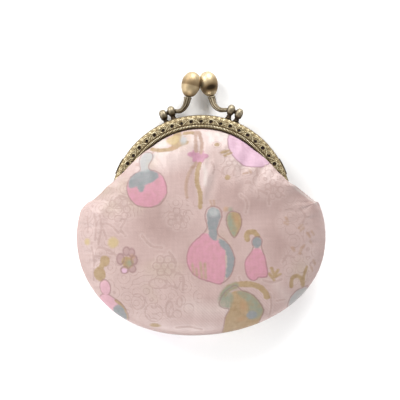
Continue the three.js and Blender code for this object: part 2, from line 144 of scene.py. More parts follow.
room.node_tree.nodes["Background"].inputs[1].default_value = 0.24
bpy.context.scene.world = room
bpy.context.scene.view_settings.view_transform = "Standard"

# Camera: straight above the purse, as the photograph was taken.
view_centre = (-0.00047, 0.00181)
view_height = 0.75
view_width = 0.18784
band_height_on_table = 0.011
camera_data = bpy.data.cameras.new("camera")
camera_data.sensor_width = 36
camera_data.lens = camera_data.sensor_width * (view_height - band_height_on_table) / view_width
camera_data.clip_start = 0.05
camera = bpy.data.objects.new("camera", camera_data)
camera.location = (*view_centre, view_height)
bpy.context.scene.collection.objects.link(camera)
bpy.context.scene.camera = camera

# Halves of the frame: pressed and antiqued brass channel, embossed with a vine that winds round the
# pierced holes and a milled ridge along the inner edge. The back half carries the outer ears of the
# hinge and two lugs that lap over the front half's rim.
frame_radius = 42.5
band_height = 6.5
inner_wall_height = 5.9
half_depth = 4.8
sheet = 0.7
rim_round = 1.9
split_gap = 0.3
clearance = 0.3
hole_radius = 0.6
hole_pitch = 4.62
hole_inset = 3.3
ear_radius = 2.3
rivet_radius = 0.9
lug_angles = (20, 31)
lug_reach = 3.0
lug_sheet = 0.36
lug_clear = 0.1
mouth_radius = frame_radius - band_height
face_z = split_gap / 2 + half_depth
channel_mid = split_gap / 2 + half_depth / 2
arch_columns = 840
lip_start = 4.5
lip_rise = 0.22
tick_pitch = 0.74
tick_inset = 5.42
stem_offset = -0.35
stem_swing = 1.12
vine_width = 0.17
vine_height = 0.20
scroll_height = 0.22
leaf_height = 0.24
curl_height = 0.19
tiny = 1e-6
halves = (("front", 1), ("back", -1))


def polar(angle, radius, z):
    turn = math.radians(angle)
    return Vector((math.cos(turn) * radius, math.sin(turn) * radius, z))


def rise(x, low, high):
    """From 0 at low to 1 at high, smoothly."""
    share = np.clip((np.asarray(x, float) - low) / (high - low), 0, 1)
    return share * share * (3 - 2 * share)


def laid_grid(columns, rows, put):
    """A grid of faces, with each vertex put where its shares across and up the grid say."""
    bm = bmesh.new()
    bmesh.ops.create_grid(bm, x_segments=columns, y_segments=rows, size=0.5)
    for v in bm.verts:
        v.co = put(min(1, max(0, v.co.x + 0.5)), min(1, max(0, v.co.y + 0.5)))
    return bm


def ridge(x, width):
    return np.exp(-((x / width) ** 2))


def band_relief(along, inset):
    """Height of the embossing in millimetres at places of the band, from how far along they are from the
    crown and how far in from the rim."""
    hole = np.round(along / hole_pitch)
    a = along - hole * hole_pitch
    d = inset - hole_inset
    odd = np.where(hole % 2 == 0, 1.0, -1.0)
    # the vine's stem, which passes each hole on the other side from the last
    stem_at = stem_offset + stem_swing * np.cos(np.pi * along / hole_pitch)
    slope = stem_swing * np.pi / hole_pitch * np.sin(np.pi * along / hole_pitch)
    height = vine_height * ridge((d - stem_at) / np.sqrt(1 + slope**2), vine_width)
    # the scroll that curls round the hole
    turn = np.arctan2(d * odd, a * odd)
    reach = np.hypot(a, d)
    scroll = ridge(reach - (1.05 + 0.10 * turn), vine_width) * (reach < 1.7)
    height = np.maximum(height, scroll_height * scroll)
    # small tendrils where the stem crosses over, and leaves in its bends
    side = -odd
    for lean in (-1.72, 1.72):
        curl = np.hypot(a - lean, d - side * 0.75)
        height = np.maximum(height, vine_height * ridge(curl - 0.46, 0.13))
        height = np.maximum(height, vine_height * ridge(curl, 0.16))
    for lean, long, out in ((-0.95, 0.58, 1.35), (0.0, 0.62, 1.62), (0.95, 0.58, 1.35)):
        da = a - lean
        dd = d - (-0.25 + side * out * 0.92)
        c, s = math.cos(lean * 0.8), math.sin(lean * 0.8)
        up, across = dd * c + side * da * s, da * c - side * dd * s
        leaf = np.clip(1 - (up / long) ** 2 - (across / 0.30) ** 2, 0, 1)
        vein = 1 - 0.6 * ridge(across, 0.08)
        height = np.maximum(height, leaf_height * np.sqrt(leaf) * vein)
    # matted ground
    matt = np.sin(along * 17.3 + 3 * np.sin(inset * 7.1)) * np.sin(inset * 19.7 + 2 * np.sin(along * 5.3))
    height = height + 0.022 * matt
    # a row of small curls along the rim
    beat = (along / hole_pitch * 2 % 1 - 0.5) * hole_pitch / 2
    height = np.maximum(height, curl_height * ridge(np.hypot(beat, inset - 1.22) - 0.50, 0.15))
    height = np.maximum(height, curl_height * ridge(np.hypot(np.abs(beat) - 1.15, inset - 0.95), 0.22))
    zone = rise(inset, 0.5, 0.75) * (1 - rise(inset, 4.35, 4.6))
    height = height * zone - 0.05 * ridge(inset - 0.5, 0.1)
    # milled ridge and lip along the inner edge
    lip = lip_rise * rise(inset, lip_start, lip_start + lip_rise)
    tick = 0.5 + 0.5 * np.cos(2 * np.pi * along / tick_pitch)
    bead = np.sqrt(np.clip(1 - ((inset - tick_inset) / 0.42) ** 2, 0, 1))
    lip = lip + 0.24 * bead * tick - 0.10 * ridge(inset - 4.98, 0.13) - 0.10 * ridge(inset - 5.95, 0.12)
    return height + lip


def uneven(tree, noise, strength):
    """A noise set about nought, times a strength."""
    return maths(tree, "MULTIPLY", maths(tree, "SUBTRACT", noise, 0.5), strength)


def brass_material(name, tones, roughness, rub=0.22, grain=0.35):
    """Antiqued brass in even tones from the darkest hollow to the most rubbed height, satin all over; the
    tone of each vertex also carries painted shade on the lugs and painted reflections on the balls.
    """
    material, tree, shader = new_material(name)
    place = add_node(tree, "TexCoord").outputs["Object"]
    relief = add_node(tree, "Attribute", attribute_name="relief").outputs["Fac"]
    cloud = noise_of(tree, place, 240, detail=4)
    fine = noise_of(tree, place, 2600, detail=3)
    tone_at = maths(tree, "ADD", relief, uneven(tree, cloud, rub))
    tone_at = maths(tree, "ADD", tone_at, uneven(tree, fine, rub * 0.8))
    ramp = add_node(tree, "ValToRGB", {0: tone_at})
    elements = ramp.color_ramp.elements
    elements[0].color, elements[1].color = (*tones[0], 1), (*tones[-1], 1)
    for i, tone in enumerate(tones[1:-1], 1):
        elements.new(i / (len(tones) - 1)).color = (*tone, 1)
    tree.links.new(ramp.outputs[0], shader.inputs["Base Color"])
    tree.links.new(ranged(tree, tone_at, 0.1, 0.9, roughness + 0.22, roughness), shader.inputs["Roughness"])
    scratches = noise_of(tree, place, 700, detail=2, stretch=(1, 6, 1))
    height = maths(tree, "ADD", fine, maths(tree, "MULTIPLY", scratches, 0.6))
    tree.links.new(bumped(tree, height, grain, 0.00008), shader.inputs["Normal"])
    shader.inputs["Metallic"].default_value = 0.88
    return material


frame_brass = brass_material(
    "antique_brass",
    [(0.03, 0.018, 0.008), (0.12, 0.08, 0.035), (0.34, 0.27, 0.155), (0.58, 0.51, 0.33), (0.9, 0.86, 0.7)],
    roughness=0.42,
)


def finished(bm, name, material, node, attributes=None):
    """A piece in place of a CAD node. attributes gives named values for each vertex from its place."""
    mesh = bpy.data.meshes.new(name)
    bm.to_mesh(mesh)
    bm.free()
    mesh.materials.append(material)
    mesh.polygons.foreach_set("use_smooth", [True] * len(mesh.polygons))
    spots = np.empty(3 * len(mesh.vertices))
    mesh.vertices.foreach_get("co", spots)
    for key, values in (attributes(spots.reshape(-1, 3)) if attributes else {}).items():
        layer = mesh.attributes.new(key, "FLOAT", "POINT")
        layer.data.foreach_set("value", np.asarray(values, np.float32))
    mesh.transform(purse_to_part)
    piece = bpy.data.objects.new(name, mesh)
    bpy.context.scene.collection.objects.link(piece)
    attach(piece, "root")
    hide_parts(node)
    return piece


def channel_rows():
    """The channel's outer skin in section, from the inner wall round the rim to the band's inner edge."""
    back = split_gap / 2
    rows = [(inset, back) for inset in (inner_wall_height, 3.9, 1.9, 0.5)]
    rows += [(0.12, back + 0.04), (0, back + 0.2), (0, 1.6)]
    for turn in np.linspace(90, 0, 11):
        t = math.radians(turn)
        rows.append((rim_round * (1 - math.sin(t)), face_z - rim_round * (1 - math.cos(t))))
    rows += [(inset, face_z) for inset in np.linspace(rim_round, band_height, 28)[1:]]
    return rows


def hole_angles():
    step = math.degrees(hole_pitch / (frame_radius - hole_inset))
    side = int((90 - step / 2) // step)
    return [90 + (i - side) * step for i in range(2 * side + 1)]


def pierce(bm):
    """Takes out the faces inside each hole of the band and rounds the edge that is left."""
    centres = np.array([polar(angle, frame_radius - hole_inset, 0)[:2] for angle in hole_angles()])

    def nearest(spot):
        gaps = centres - np.array(spot[:2])
        i = int(np.argmin(np.hypot(*gaps.T)))
        return Vector((*centres[i], 0)), float(np.hypot(*gaps[i]))

    lost = [f for f in bm.faces if f.verts[0].co.z > face_z - 0.3]
    lost = [f for f in lost if nearest(f.calc_center_median())[1] < hole_radius * 0.97]
    bmesh.ops.delete(bm, geom=lost, context="FACES")
    for v in bm.verts:
        if v.is_boundary and v.co.z > face_z - 0.3:
            centre, gap = nearest(v.co)
            if gap < hole_radius * 1.6:
                flat = Vector((v.co.x, v.co.y, 0)) - centre
                edge = centre + flat.normalized() * hole_radius
                v.co.x, v.co.y = edge.x, edge.y


def add_ear(bm, side, near):
    """One plate of the hinge, round below with a neck up to the channel, and bored for the rivet."""
    before = set(bm.verts)
    outer = bmesh.ops.create_circle(bm, segments=48, radius=ear_radius)["verts"]
    inner = bmesh.ops.create_circle(bm, segments=48, radius=rivet_radius + clearance)["verts"]
    neck_out, neck_up = face_z - rim_round, ear_radius + rivet_drop
    for v in outer:
        if v.co.x > 0 and v.co.y > 0:
            away = v.co.normalized()
            reach = min(neck_out / max(away.x, tiny), neck_up / max(away.y, tiny))
            v.co = away * max(ear_radius, reach)
    edges = list({e for v in outer + inner for e in v.link_edges})
    faces = bmesh.ops.bridge_loops(bm, edges=edges)["faces"]
    grown = bmesh.ops.extrude_face_region(bm, geom=faces)["geom"]
    lifted = [g for g in grown if isinstance(g, bmesh.types.BMVert)]
    bmesh.ops.translate(bm, verts=lifted, vec=(0, 0, sheet))
    made = [v for v in bm.verts if v not in before]
    bmesh.ops.recalc_face_normals(bm, faces=list({f for v in made for f in v.link_faces}))
    for v in made:
        x, y, z = v.co
        v.co = (side * (near + z), y - rivet_drop, x)
    if side > 0:
        bmesh.ops.reverse_faces(bm, faces=list({f for v in made for f in v.link_faces}))


def add_mesh(bm, other):
    """Adds the faces of another bmesh, which is freed."""
    spare = bpy.data.meshes.new("spare")
    other.to_mesh(spare)
    other.free()
    bm.from_mesh(spare)
    bpy.data.meshes.remove(spare)


def add_lug(bm, side):
    """A lug that grows from the back half's rim and laps over the front half's."""
    low, high = lug_angles
    block = bmesh.new()
    bmesh.ops.create_cube(block, size=1)
    long = [e for e in block.edges if abs(e.verts[0].co.x - e.verts[1].co.x) > 0.5]
    bmesh.ops.subdivide_edges(block, edges=long, cuts=11, use_grid_fill=True)
    top = face_z - rim_round
    for v in block.verts:
        angle = low + (v.co.x + 0.5) * (high - low)
        soft = 1 - 0.16 * (abs(v.co.x) * 2) ** 6
        inset = -lug_clear - (v.co.y + 0.5) * lug_sheet * soft
        z = top if v.co.z > 0 else -lug_reach * soft
        v.co = polar(angle if side > 0 else 180 - angle, frame_radius - inset, z)
    if side < 0:
        bmesh.ops.reverse_faces(block, faces=block.faces)
    bmesh.ops.recalc_face_normals(block, faces=block.faces)
    sharp = [e for e in block.edges if e.calc_face_angle(0) > 0.8]
    bmesh.ops.bevel(
        block,
        geom=sharp,
        offset=0.14,
        offset_type="OFFSET",
        segments=2,
        profile=0.5,
        affect="EDGES",
        material=-1,
    )
    add_mesh(bm, block)


def frame_half(outer_ears):
    rows = channel_rows()

    def put(across, up):
        inset, z = rows[round(up * (len(rows) - 1))]
        return polar(180 - 180 * across, frame_radius - inset, z)

    bm = laid_grid(arch_columns, len(rows) - 1, put)
    bmesh.ops.recalc_face_normals(bm, faces=bm.faces)
    top = min(bm.faces, key=lambda f: (f.calc_center_median() - polar(90, frame_radius - 4, face_z)).length)
    if top.normal.z < 0:
        bmesh.ops.reverse_faces(bm, faces=bm.faces)
    pierce(bm)
    bmesh.ops.solidify(bm, geom=bm.faces[:], thickness=sheet)
    x, y, z = np.array([tuple(v.co) for v in bm.verts]).T
    inset = frame_radius - np.hypot(x, y)
    flat = (inset > rim_round) & (z > face_z - sheet / 2)
    from_corner = np.hypot(rim_round - inset, z - face_z + rim_round)
    on_rim = (inset > 0.6) & (inset <= rim_round) & (from_corner > rim_round - sheet / 2)
    embossed = (z > face_z - rim_round) & (flat | on_rim)
    along = (math.pi / 2 - np.arctan2(y, x)) * (frame_radius - hole_inset)
    for v, lift in zip(bm.verts, np.where(embossed, band_relief(along, inset), 0)):
        v.co.z += lift
    near = frame_radius + clearance if outer_ears else frame_radius - sheet
    for side in (-1, 1):
        add_ear(bm, side, near)
        if outer_ears:
            add_lug(bm, side)
    return bm


def band_values(front):
    """Tone of the band as a share from hollow to high, from the places of a half's vertices, with painted
    shade on the lugs.
    """

    def values(spots):
        x, y, z = spots[:, 0], spots[:, 1], spots[:, 2] * front
        inset = frame_radius - np.hypot(x, y)
        along = (math.pi / 2 - np.arctan2(y, x)) * (frame_radius - hole_inset)
        height = band_relief(along, inset)
        hole = np.round(along / hole_pitch)
        edge = np.hypot(along - hole * hole_pitch, inset - hole_inset)
        shown = 0.46 + 0.46 * rise(height, 0.09, 0.21) - 0.46 * ridge(height - 0.06, 0.04)
        shown = shown - 0.5 * ridge(edge - 0.72, 0.22)
        tick = 0.5 + 0.5 * np.cos(2 * np.pi * along / tick_pitch)
        milled = 0.10 + (0.95 * rise(tick, 0.5, 0.85) - 0.06) * ridge(inset - tick_inset, 0.55)
        milled = milled + 0.06 * ridge(inset - 4.78, 0.1) - 0.10 * rise(inset, 6.0, 6.3)
        shown = np.where(inset > lip_start, milled, shown) - 0.3 * ridge(inset - lip_start, 0.16)
        rim = 1 - rise(inset, 0.4, 0.6)
        shown = shown * (1 - rim) + rim * (0.16 + 0.30 * rise(inset, 0.12, 0.4))
        # painted shade: the lugs dark all over
        lug = rise(-inset, 0.05, 0.12)
        on_face = (z > face_z - 0.4) | ((inset < rim_round) & (z > face_z - rim_round))
        return {"relief": np.where(on_face, shown, 0.34) * (1 - lug) + 0.12 * lug}

    return values


for half, front in halves:
    bm = frame_half(outer_ears=front < 0)
    if front < 0:
        bmesh.ops.scale(bm, vec=(1, 1, -1), verts=bm.verts)
        bmesh.ops.reverse_faces(bm, faces=bm.faces)
    finished(bm, "embossed_frame_" + half, frame_brass, "frame_" + half, band_values(front))

# Hinge rivets: turned brass pins through the ears, with a low domed head at each end.
rivet_head_radius = 1.6
rivet_head_height = 0.7


def spun(profile, steps):
    """A turned solid about +X, from places along the axis and radii."""
    bm = bmesh.new()
    verts = [bm.verts.new((along, radius, 0)) for along, radius in profile]
    edges = [bm.edges.new(pair) for pair in zip(verts, verts[1:])]
    whole_turn = 2 * math.pi
    bmesh.ops.spin(
        bm, geom=verts + edges, cent=(0, 0, 0), axis=(1, 0, 0), angle=whole_turn, steps=steps, use_merge=True
    )
    bmesh.ops.remove_doubles(bm, verts=bm.verts, dist=1e-4)
    bmesh.ops.recalc_face_normals(bm, faces=bm.faces)
    return bm


def domed_head(start, way):
    """Half a rivet head's outline, from its edge to its crown."""
    turns = [math.radians(90 * i / 7) for i in range(8)]
    edge = 0.18
    rows = [(start, rivet_head_radius - 0.06), (start + way * 0.06, rivet_head_radius)]
    rows += [
        (start + way * (edge + (rivet_head_height - edge) * math.sin(t)), rivet_head_radius * math.cos(t))
        for t in turns
    ]
    return rows


polished_brass = brass_material(
    "rubbed_brass",
    [(0.03, 0.018, 0.008), (0.14, 0.09, 0.045), (0.31, 0.225, 0.125), (0.5, 0.4, 0.25), (0.74, 0.66, 0.48)],
    roughness=0.44,
    rub=0.10,
    grain=0.25,
)
for name, side in (("right", 1), ("left", -1)):
    inner = frame_radius - sheet - clearance
    outer = frame_radius + clearance + sheet + clearance
    profile = domed_head(inner, -1)[::-1]
    profile += [(inner, rivet_radius), (outer, rivet_radius)] + domed_head(outer, 1)
    bm = spun(profile, 40)
    turned = Matrix.Rotation(0 if side > 0 else math.pi, 4, "Z")
    bmesh.ops.transform(bm, matrix=Matrix.Translation((0, -rivet_drop, 0)) @ turned, verts=bm.verts)

    def rivet_values(spots):
        reach = np.hypot(spots[:, 1] + rivet_drop, spots[:, 2])
        return {"relief": 0.78 - 0.5 * rise(reach, 1.2, 1.6)}

    finished(bm, "hinge_rivet_" + name, polished_brass, "rivet_" + name, rivet_values)

# Arms of the kiss lock: each is one casting with two feet peened through its half's rim, a rounded
# knuckle on each foot and a fluted stem that bows up to a collar under the ball.
knees_of_arm = ((17.4, 4.5), (22.5, 4.1))  # degrees from the crown, and height over the rim
knee_radius = 2.65
knee_thickness = 3.7
foot_radius = 1.1
arm_radius_low = 0.98
arm_radius_high = 1.62
spigot_radius = 0.85
spigot_length = 3.4
ball_radius = 4.35
ball_length = 12
ball_lean = 13
ball_past = 1.5
# where the middle of each ball is across and over the rim, and how much fuller one ball came out
ball_middles = {1: (3.55, 15.35), -1: (-4.8, 14.6)}
ball_fullness = {1: 1.02, -1: 1.04}
ball_mouth = 0.955
mouth_round = 0.1
ball_rings = 44
egg_share = 0.07
stem_bow = ((0.47, 0.17, 0.25), (0.17, 0.31, 0.65))  # how far out, how high and how far across the joint
flutes = 8
flute_depth = 0.22
stem_swells = (0.28, 0.92)  # where along the bow the stem starts to thicken and is full
curve_steps = 160

worn_brass = brass_material(
    "worn_brass",
    [(0.022, 0.014, 0.008), (0.08, 0.055, 0.032), (0.24, 0.2, 0.135), (0.46, 0.41, 0.31), (0.78, 0.73, 0.6)],
    roughness=0.38,
)


def ball_place(side):
    across, high = ball_middles[side]
    at = Vector((across, frame_radius + high, -side * ball_past))
    lean = math.radians(ball_lean)
    return at, Vector((-side * math.sin(lean), math.cos(lean), 0))


def curve_through(points, share):
    """A point and its direction on a smooth curve through the points."""
    last = len(points) - 1
    i = min(last - 1, int(share * last))
    t = share * last - i
    a, b = points[i], points[i + 1]
    before = points[i - 1] if i > 0 else a * 2 - b
    after = points[i + 2] if i + 2 <= last else b * 2 - a
    m, n = (b - before) / 2, (after - a) / 2
    place = a * (2 * t**3 - 3 * t**2 + 1) + m * (t**3 - 2 * t**2 + t)
    place += b * (3 * t**2 - 2 * t**3) + n * (t**3 - t**2)
    way = a * (6 * t**2 - 6 * t) + m * (3 * t**2 - 4 * t + 1)
    way = way + b * (6 * t - 6 * t**2) + n * (3 * t**2 - 2 * t)
    return place, way.normalized()


def add_tube(bm, points, radius_at, rings=90, sides=54):
    """A round bar along a curve, its radius given by the share along it and the turn about it."""

    def put(along, around):
        centre, way = curve_through(points, along)
        across = way.cross(Vector((0, 0, 1))).normalized()
        upward = across.cross(way)
        turn = 2 * math.pi * around
        reach = radius_at(along, turn)
        return centre + (across * math.cos(turn) + upward * math.sin(turn)) * reach

    tube = laid_grid(rings, sides, put)
    bmesh.ops.remove_doubles(tube, verts=tube.verts, dist=1e-3)
    bmesh.ops.holes_fill(tube, edges=[e for e in tube.edges if e.is_boundary], sides=0)
    bmesh.ops.recalc_face_normals(tube, faces=tube.faces)
    add_mesh(bm, tube)


def stem_radius(along, turn):
    """Radius of the stem: it thickens and is fluted on its way up, and ends in a double collar."""
    stem = arm_radius_low + (arm_radius_high - arm_radius_low) * float(rise(along, *stem_swells))
    fluted = float(rise(along, 0.3, 0.4)) * (1 - float(rise(along, 0.90, 0.93)))
    stem *= 1 + flute_depth * fluted * (abs(math.cos(flutes * turn / 2)) - 0.7)
    collar = 0.32 * math.exp(-(((along - 0.958) / 0.016) ** 2))
    collar += 0.16 * math.exp(-(((along - 0.905) / 0.01) ** 2))
    return stem + collar


def add_knuckle(bm, centre, angle):
    """A fat disc, flatter on its two faces than on its rim, with a soft groove round the rim's middle."""
    disc = bmesh.new()
    bmesh.ops.create_uvsphere(disc, u_segments=56, v_segments=36, radius=1)
    for v in disc.verts:
        x, y, z = v.co
        reach = math.hypot(x, y)
        full = (1 - abs(z) ** 2.5) ** (1 / 2.3) if abs(z) < 1 else 0
        wide = knee_radius * full / max(reach, tiny)
        v.co = (x * wide, y * wide, z * knee_thickness / 2)
    upright = Matrix.Rotation(math.radians(angle - 90), 4, "Z") @ Matrix.Rotation(math.pi / 2, 4, "Y")
    bmesh.ops.transform(disc, matrix=Matrix.Translation(centre) @ upright, verts=disc.verts)
    bmesh.ops.recalc_face_normals(disc, faces=disc.faces)
    add_mesh(bm, disc)


def add_foot(bm, angle, z, knee):
    """A short leg, flared where it stands on the rim."""
    root = polar(angle, frame_radius - sheet - clearance, z)

    def leg(along, turn):
        flare = 0.42 * math.exp(-(((along - 0.24) / 0.11) ** 2))
        return (foot_radius if along > 0.2 else 0.7) + flare

    add_tube(bm, [root, knee], leg, rings=24, sides=28)


for half, side in halves:
    z = side * channel_mid
    knees = [polar(90 - side * angle, frame_radius + high, z) for angle, high in knees_of_arm]
    bm = bmesh.new()
    for (angle, _), knee in zip(knees_of_arm, knees):
        add_knuckle(bm, knee, 90 - side * angle)
        add_foot(bm, 90 - side * angle, z, knee)
    at, up = ball_place(side)
    neck = at - up * (ball_mouth * ball_length / 2 * ball_fullness[side] + clearance)
    bow = [knees[1], knees[0]]
    for out, high, past in stem_bow:
        x = neck.x + (knees[0].x - neck.x) * out
        bow.append(Vector((x, frame_radius + high * (at.y - frame_radius), z + (at.z - z) * past)))
    bow += [neck - up * 1.3, neck]
    add_tube(bm, bow, stem_radius)
    add_tube(bm, [neck - up * 0.2, neck + up * spigot_length], lambda along, turn: spigot_radius, 4, 24)

    def arm_values(spots, knees=knees, side=side, bow=bow):
        reach = np.hypot(spots[:, 0], spots[:, 1])
        foot = 1 - rise(reach, frame_radius + 1.6, frame_radius + 3.2)
        line = np.array([curve_through(bow, share)[0] for share in np.linspace(0, 1, curve_steps)])
        gaps = np.linalg.norm(spots[:, None] - line, axis=2)
        nearest = np.argmin(gaps, axis=1)
        swollen_by = rise(nearest / (curve_steps - 1), *stem_swells)
        stem = arm_radius_low + (arm_radius_high - arm_radius_low) * swollen_by
        shown = 0.05 + 0.44 * rise(np.min(gaps, axis=1) / stem, 0.87, 1.05)
        between = rise(side * spots[:, 0], side * knees[0].x - 0.6, side * knees[0].x + 0.8)
        shown = shown * (1 - 0.8 * between)
        for (angle, _), knee in zip(knees_of_arm, knees):
            turn = math.radians(90 - side * angle)
            offset = spots - np.array(knee)
            across = offset[:, :2] @ np.array((-math.sin(turn), math.cos(turn)))
            far = np.linalg.norm(offset, axis=1)
            bead = 0.54 - 0.40 * rise(np.abs(across), 1.2, 1.95) - 0.26 * rise(-offset[:, 1], -0.3, 2.4)
            shown = np.where((far < knee_radius + 0.15) & (np.abs(across) < 2.05) & (far > 1.45), bead, shown)
        return {"relief": shown * (1 - 0.8 * foot)}

    finished(bm, "kiss_lock_arm_" + half, worn_brass, "clasp_arm_" + half, arm_values)

# Balls of the kiss lock: hollow-bored egg shaped beads of polished brass, pressed on the arms.
for half, side in halves:
    long = ball_length / 2
    mouth = long * ball_mouth
    bore = spigot_radius + clearance
    bore_end = spigot_length + clearance - mouth
    profile = [(bore_end, 0), (bore_end, bore)]
    profile += [(-mouth + mouth_round, bore), (-mouth, bore + mouth_round)]
    start = math.acos(ball_mouth)
    for i in range(ball_rings):
        u = -math.cos(start + (math.pi - start) * i / (ball_rings - 1))
        egg = ball_radius * math.sqrt(max(0, 1 - u * u)) * (1 + egg_share * u)
        profile.append((long * u, egg))
    bm = spun(profile, 72)
    at, up = ball_place(side)
    turned = Vector((1, 0, 0)).rotation_difference(up).to_matrix().to_4x4()
    full = Matrix.Diagonal((ball_fullness[side], ball_fullness[side], 1, 1))
    bmesh.ops.transform(bm, matrix=Matrix.Translation(at) @ full @ turned, verts=bm.verts)

    def ball_painted_light(spots, at=at, up=up, side=side):
        offset = spots - np.array(at)
        along = offset @ np.array(up)
        inward = -side * offset[:, 0]
        if side < 0:
            # painted reflections: light at the top and below the middle, a dark band across the middle,
            # darker at the neck
            shown = 0.70 - 0.36 * rise(-along, -4.5, 0.2) + 0.28 * rise(-along, 0.3, 1.0)
            shown = shown - 0.30 * rise(-along, 3.4, 5.8)
        else:
            # painted reflections: lighter towards the top, a dark patch low on the outer side, paler at the
            # neck
            shown = 0.78 - 0.34 * rise(-along + 0.5 * offset[:, 0], -3.5, 2.2)
            patch = np.exp(-(((offset[:, 0] - 1.0) / 2.9) ** 2) - ((along + 2.2) / 1.35) ** 2)
            shown = shown - 0.60 * patch + 0.22 * rise(-along, 3.9, 4.5)
        # painted shade on the side of each ball that faces the other
        return {"relief": shown - 0.35 * rise(inward, 3.6, 4.5) * ridge(along, 2.6)}

    finished(bm, "kiss_lock_ball_" + half, polished_brass, "clasp_ball_" + half, ball_painted_light)

# Panels of the pouch: figured silk brocade on soft interlining with a satin lining, each cut round, sewn
# to the other along the belly and glued by its top edge into the frame's channel. The cloth goes over
# the frame's ends at the shoulders. Each panel is one wall: brocade outside, lining inside.
cloth_thick = 1.6
edge_thick = 2.8
pouch_half_width = 58.4
belly_drop = 14.6
pouch_drop = 60.9
pouch_fullness = 2.08
bottom_lean = 3.8
crown_height = 12.2
dome_fullness = 2.35
dome_drop = 10
mouth_clear = 0.45
roll_under = 0.8
roll_rise = 2.9
roll_tuck = 2.2
seam_rise = 1.3
seam_tuck = 0.5
patch_ease = 1.2
lip_height = 0.25
panel_cells = 60
under_rows = 4
corner_ease = 0.05
arch_ribs = 130
shoulder_ribs = 24
belly_ribs = 140
trial_scale = 1 / 40
trial_frames = 24
calm_rounds = 40
swell_kept = 0.9
swell_cap = 1.1

# The cloth's edge against the frame: 0 at the band's inner edge, 1 at the rim, 2 at the shoulder's corner,
# with the degrees above the hinge where it is there on the right and on the left.
cloth_edge = (
    (0, 47, 50),
    (0.14, 41, 43),
    (0.29, 33.5, 34),
    (0.55, 22, 22.5),
    (1, 14.2, 14.8),
    (1.31, 9.6, 7.6),
    (1.58, 6.3, 3.4),
    (1.84, 3, 0.6),
)
shoulder_up = {1: 0.03, -1: -0.03}
# Places that the five points of a rib pass on their way round the shoulder: across and down as shares of
# the frame's radius, forward as a share of its face's height, and how much further forward the lining is.
detours = (
    (0.84, 0.3, 0.25, -0.9),
    (0.78, 0.32, 0.65, 0),
    (0.8, 0.3, 1.15, 0.6),
    (1.08, 0.08, 1.15, 1),
    (1.29, -0.03, 0.28, 0.2),
)


def outline_at(y, side):
    down = (-belly_drop - y) / (pouch_drop - belly_drop)
    across = pouch_half_width * max(0, 1 - abs(down) ** pouch_fullness) ** (1 / pouch_fullness)
    return Vector((side * across - bottom_lean * max(0, down) ** 3, y, 0))


def corner_of(side):
    return outline_at(shoulder_up[side] * pouch_half_width, side)


def cloth_reach(above, side):
    angles = [row[1 if side > 0 else 2] for row in cloth_edge]
    reach = float(np.interp(above, angles[::-1], [row[0] for row in cloth_edge][::-1]))
    mouth = mouth_radius - mouth_clear
    if reach <= 1:
        return mouth + (frame_radius - mouth) * reach
    return frame_radius + (corner_of(side).length - frame_radius) * (reach - 1)


def arch_rib(above, side, wall):
    """Five places of the cloth from deep in the channel to where it turns over, at an angle of the arch."""
    angle = above if side > 0 else 180 - above
    reach = cloth_reach(above, side)
    mouth = mouth_radius - mouth_clear
    over = float(rise(reach, mouth, frame_radius - rim_round))
    past = float(rise(reach, frame_radius + 1, corner_of(side).length - 2))
    back = wall * cloth_thick
    lower = channel_mid + (0.5 - wall) * edge_thick
    under = face_z + over * roll_under
    tucked = min(reach - roll_tuck, frame_radius + sheet) - 0.2 * back
    tuck = (mouth - back) + (tucked - mouth + back) * over
    turn = face_z + lip_height + (roll_rise - lip_height) * over
    turn += (seam_rise - turn) * past
    return [
        polar(angle, frame_radius - rim_round - clearance, lower),
        polar(angle, mouth - 0.85 * back, lower + 0.5 * back),
        polar(angle, mouth - back, under - clearance + 0.4 * back),
        polar(angle, tuck, under + (0.4 + 0.6 * over) * back),
        polar(angle, reach - back, turn + 0.1 * back),
    ]


def seam_rib(point, wall):
    outward = Vector((point.x, point.y + belly_drop, 0)).normalized()
    back = wall * 1.05 * cloth_thick
    rows = []
    for i, share in enumerate((1, 0.7, 0.4, 0.16, 0)):
        spot = point + outward * (-share * seam_tuck - back)
        spot.z = split_gap / 2 + (seam_rise - split_gap / 2) * (i / 4) ** 1.3
        rows.append(spot)
    return rows


def shoulder_rib(share, side, arch, seam, wall):
    rows = []
    for start, end, (across, down, forward, lining) in zip(arch, seam, detours):
        x = side * (across * frame_radius - 0.6 * wall * cloth_thick)
        middle = Vector((x, -down * frame_radius, forward * face_z + wall * lining * cloth_thick))
        rows.append(start * (1 - share) ** 2 + middle * 2 * share * (1 - share) + end * share**2)
    return rows


def side_ribs(side, wall):
    """Ribs of one side, from the crown of the arch down round the shoulder and the belly to the bottom."""
    corner = corner_of(side)
    ribs = [arch_rib(above, side, wall) for above in np.linspace(90, cloth_edge[-1][1], arch_ribs)]
    arch_end, seam_start = ribs[-1], seam_rib(corner, wall)
    steps = np.linspace(0, 1, shoulder_ribs + 2)[1:-1]
    ribs += [shoulder_rib(share, side, arch_end, seam_start, wall) for share in steps]
    depth = pouch_drop - belly_drop
    start_turn = -math.asin(((corner.y + belly_drop) / depth) ** (pouch_fullness / 2))
    for turn in np.linspace(start_turn, math.pi / 2, belly_ribs):
        lift = math.copysign(abs(math.sin(turn)) ** (2 / pouch_fullness), turn)
        ribs.append(seam_rib(outline_at(-belly_drop - depth * lift, side), wall))
    return np.array([[tuple(p) for p in rib] for rib in ribs])


def eased_loop(at, loop, width):
    """A closed line averaged over a width, as a share of the way round, at even steps."""
    steps = 720
    shares = np.arange(steps) / steps
    even = np.stack([np.interp(shares, at, loop[:, k], period=1) for k in range(3)], axis=1)
    gap = np.minimum(shares, 1 - shares)
    weight = np.exp(-((gap / width) ** 2))
    turned = np.fft.fft(weight / weight.sum())[:, None] * np.fft.fft(even, axis=0)
    return shares, np.real(np.fft.ifft(turned, axis=0))


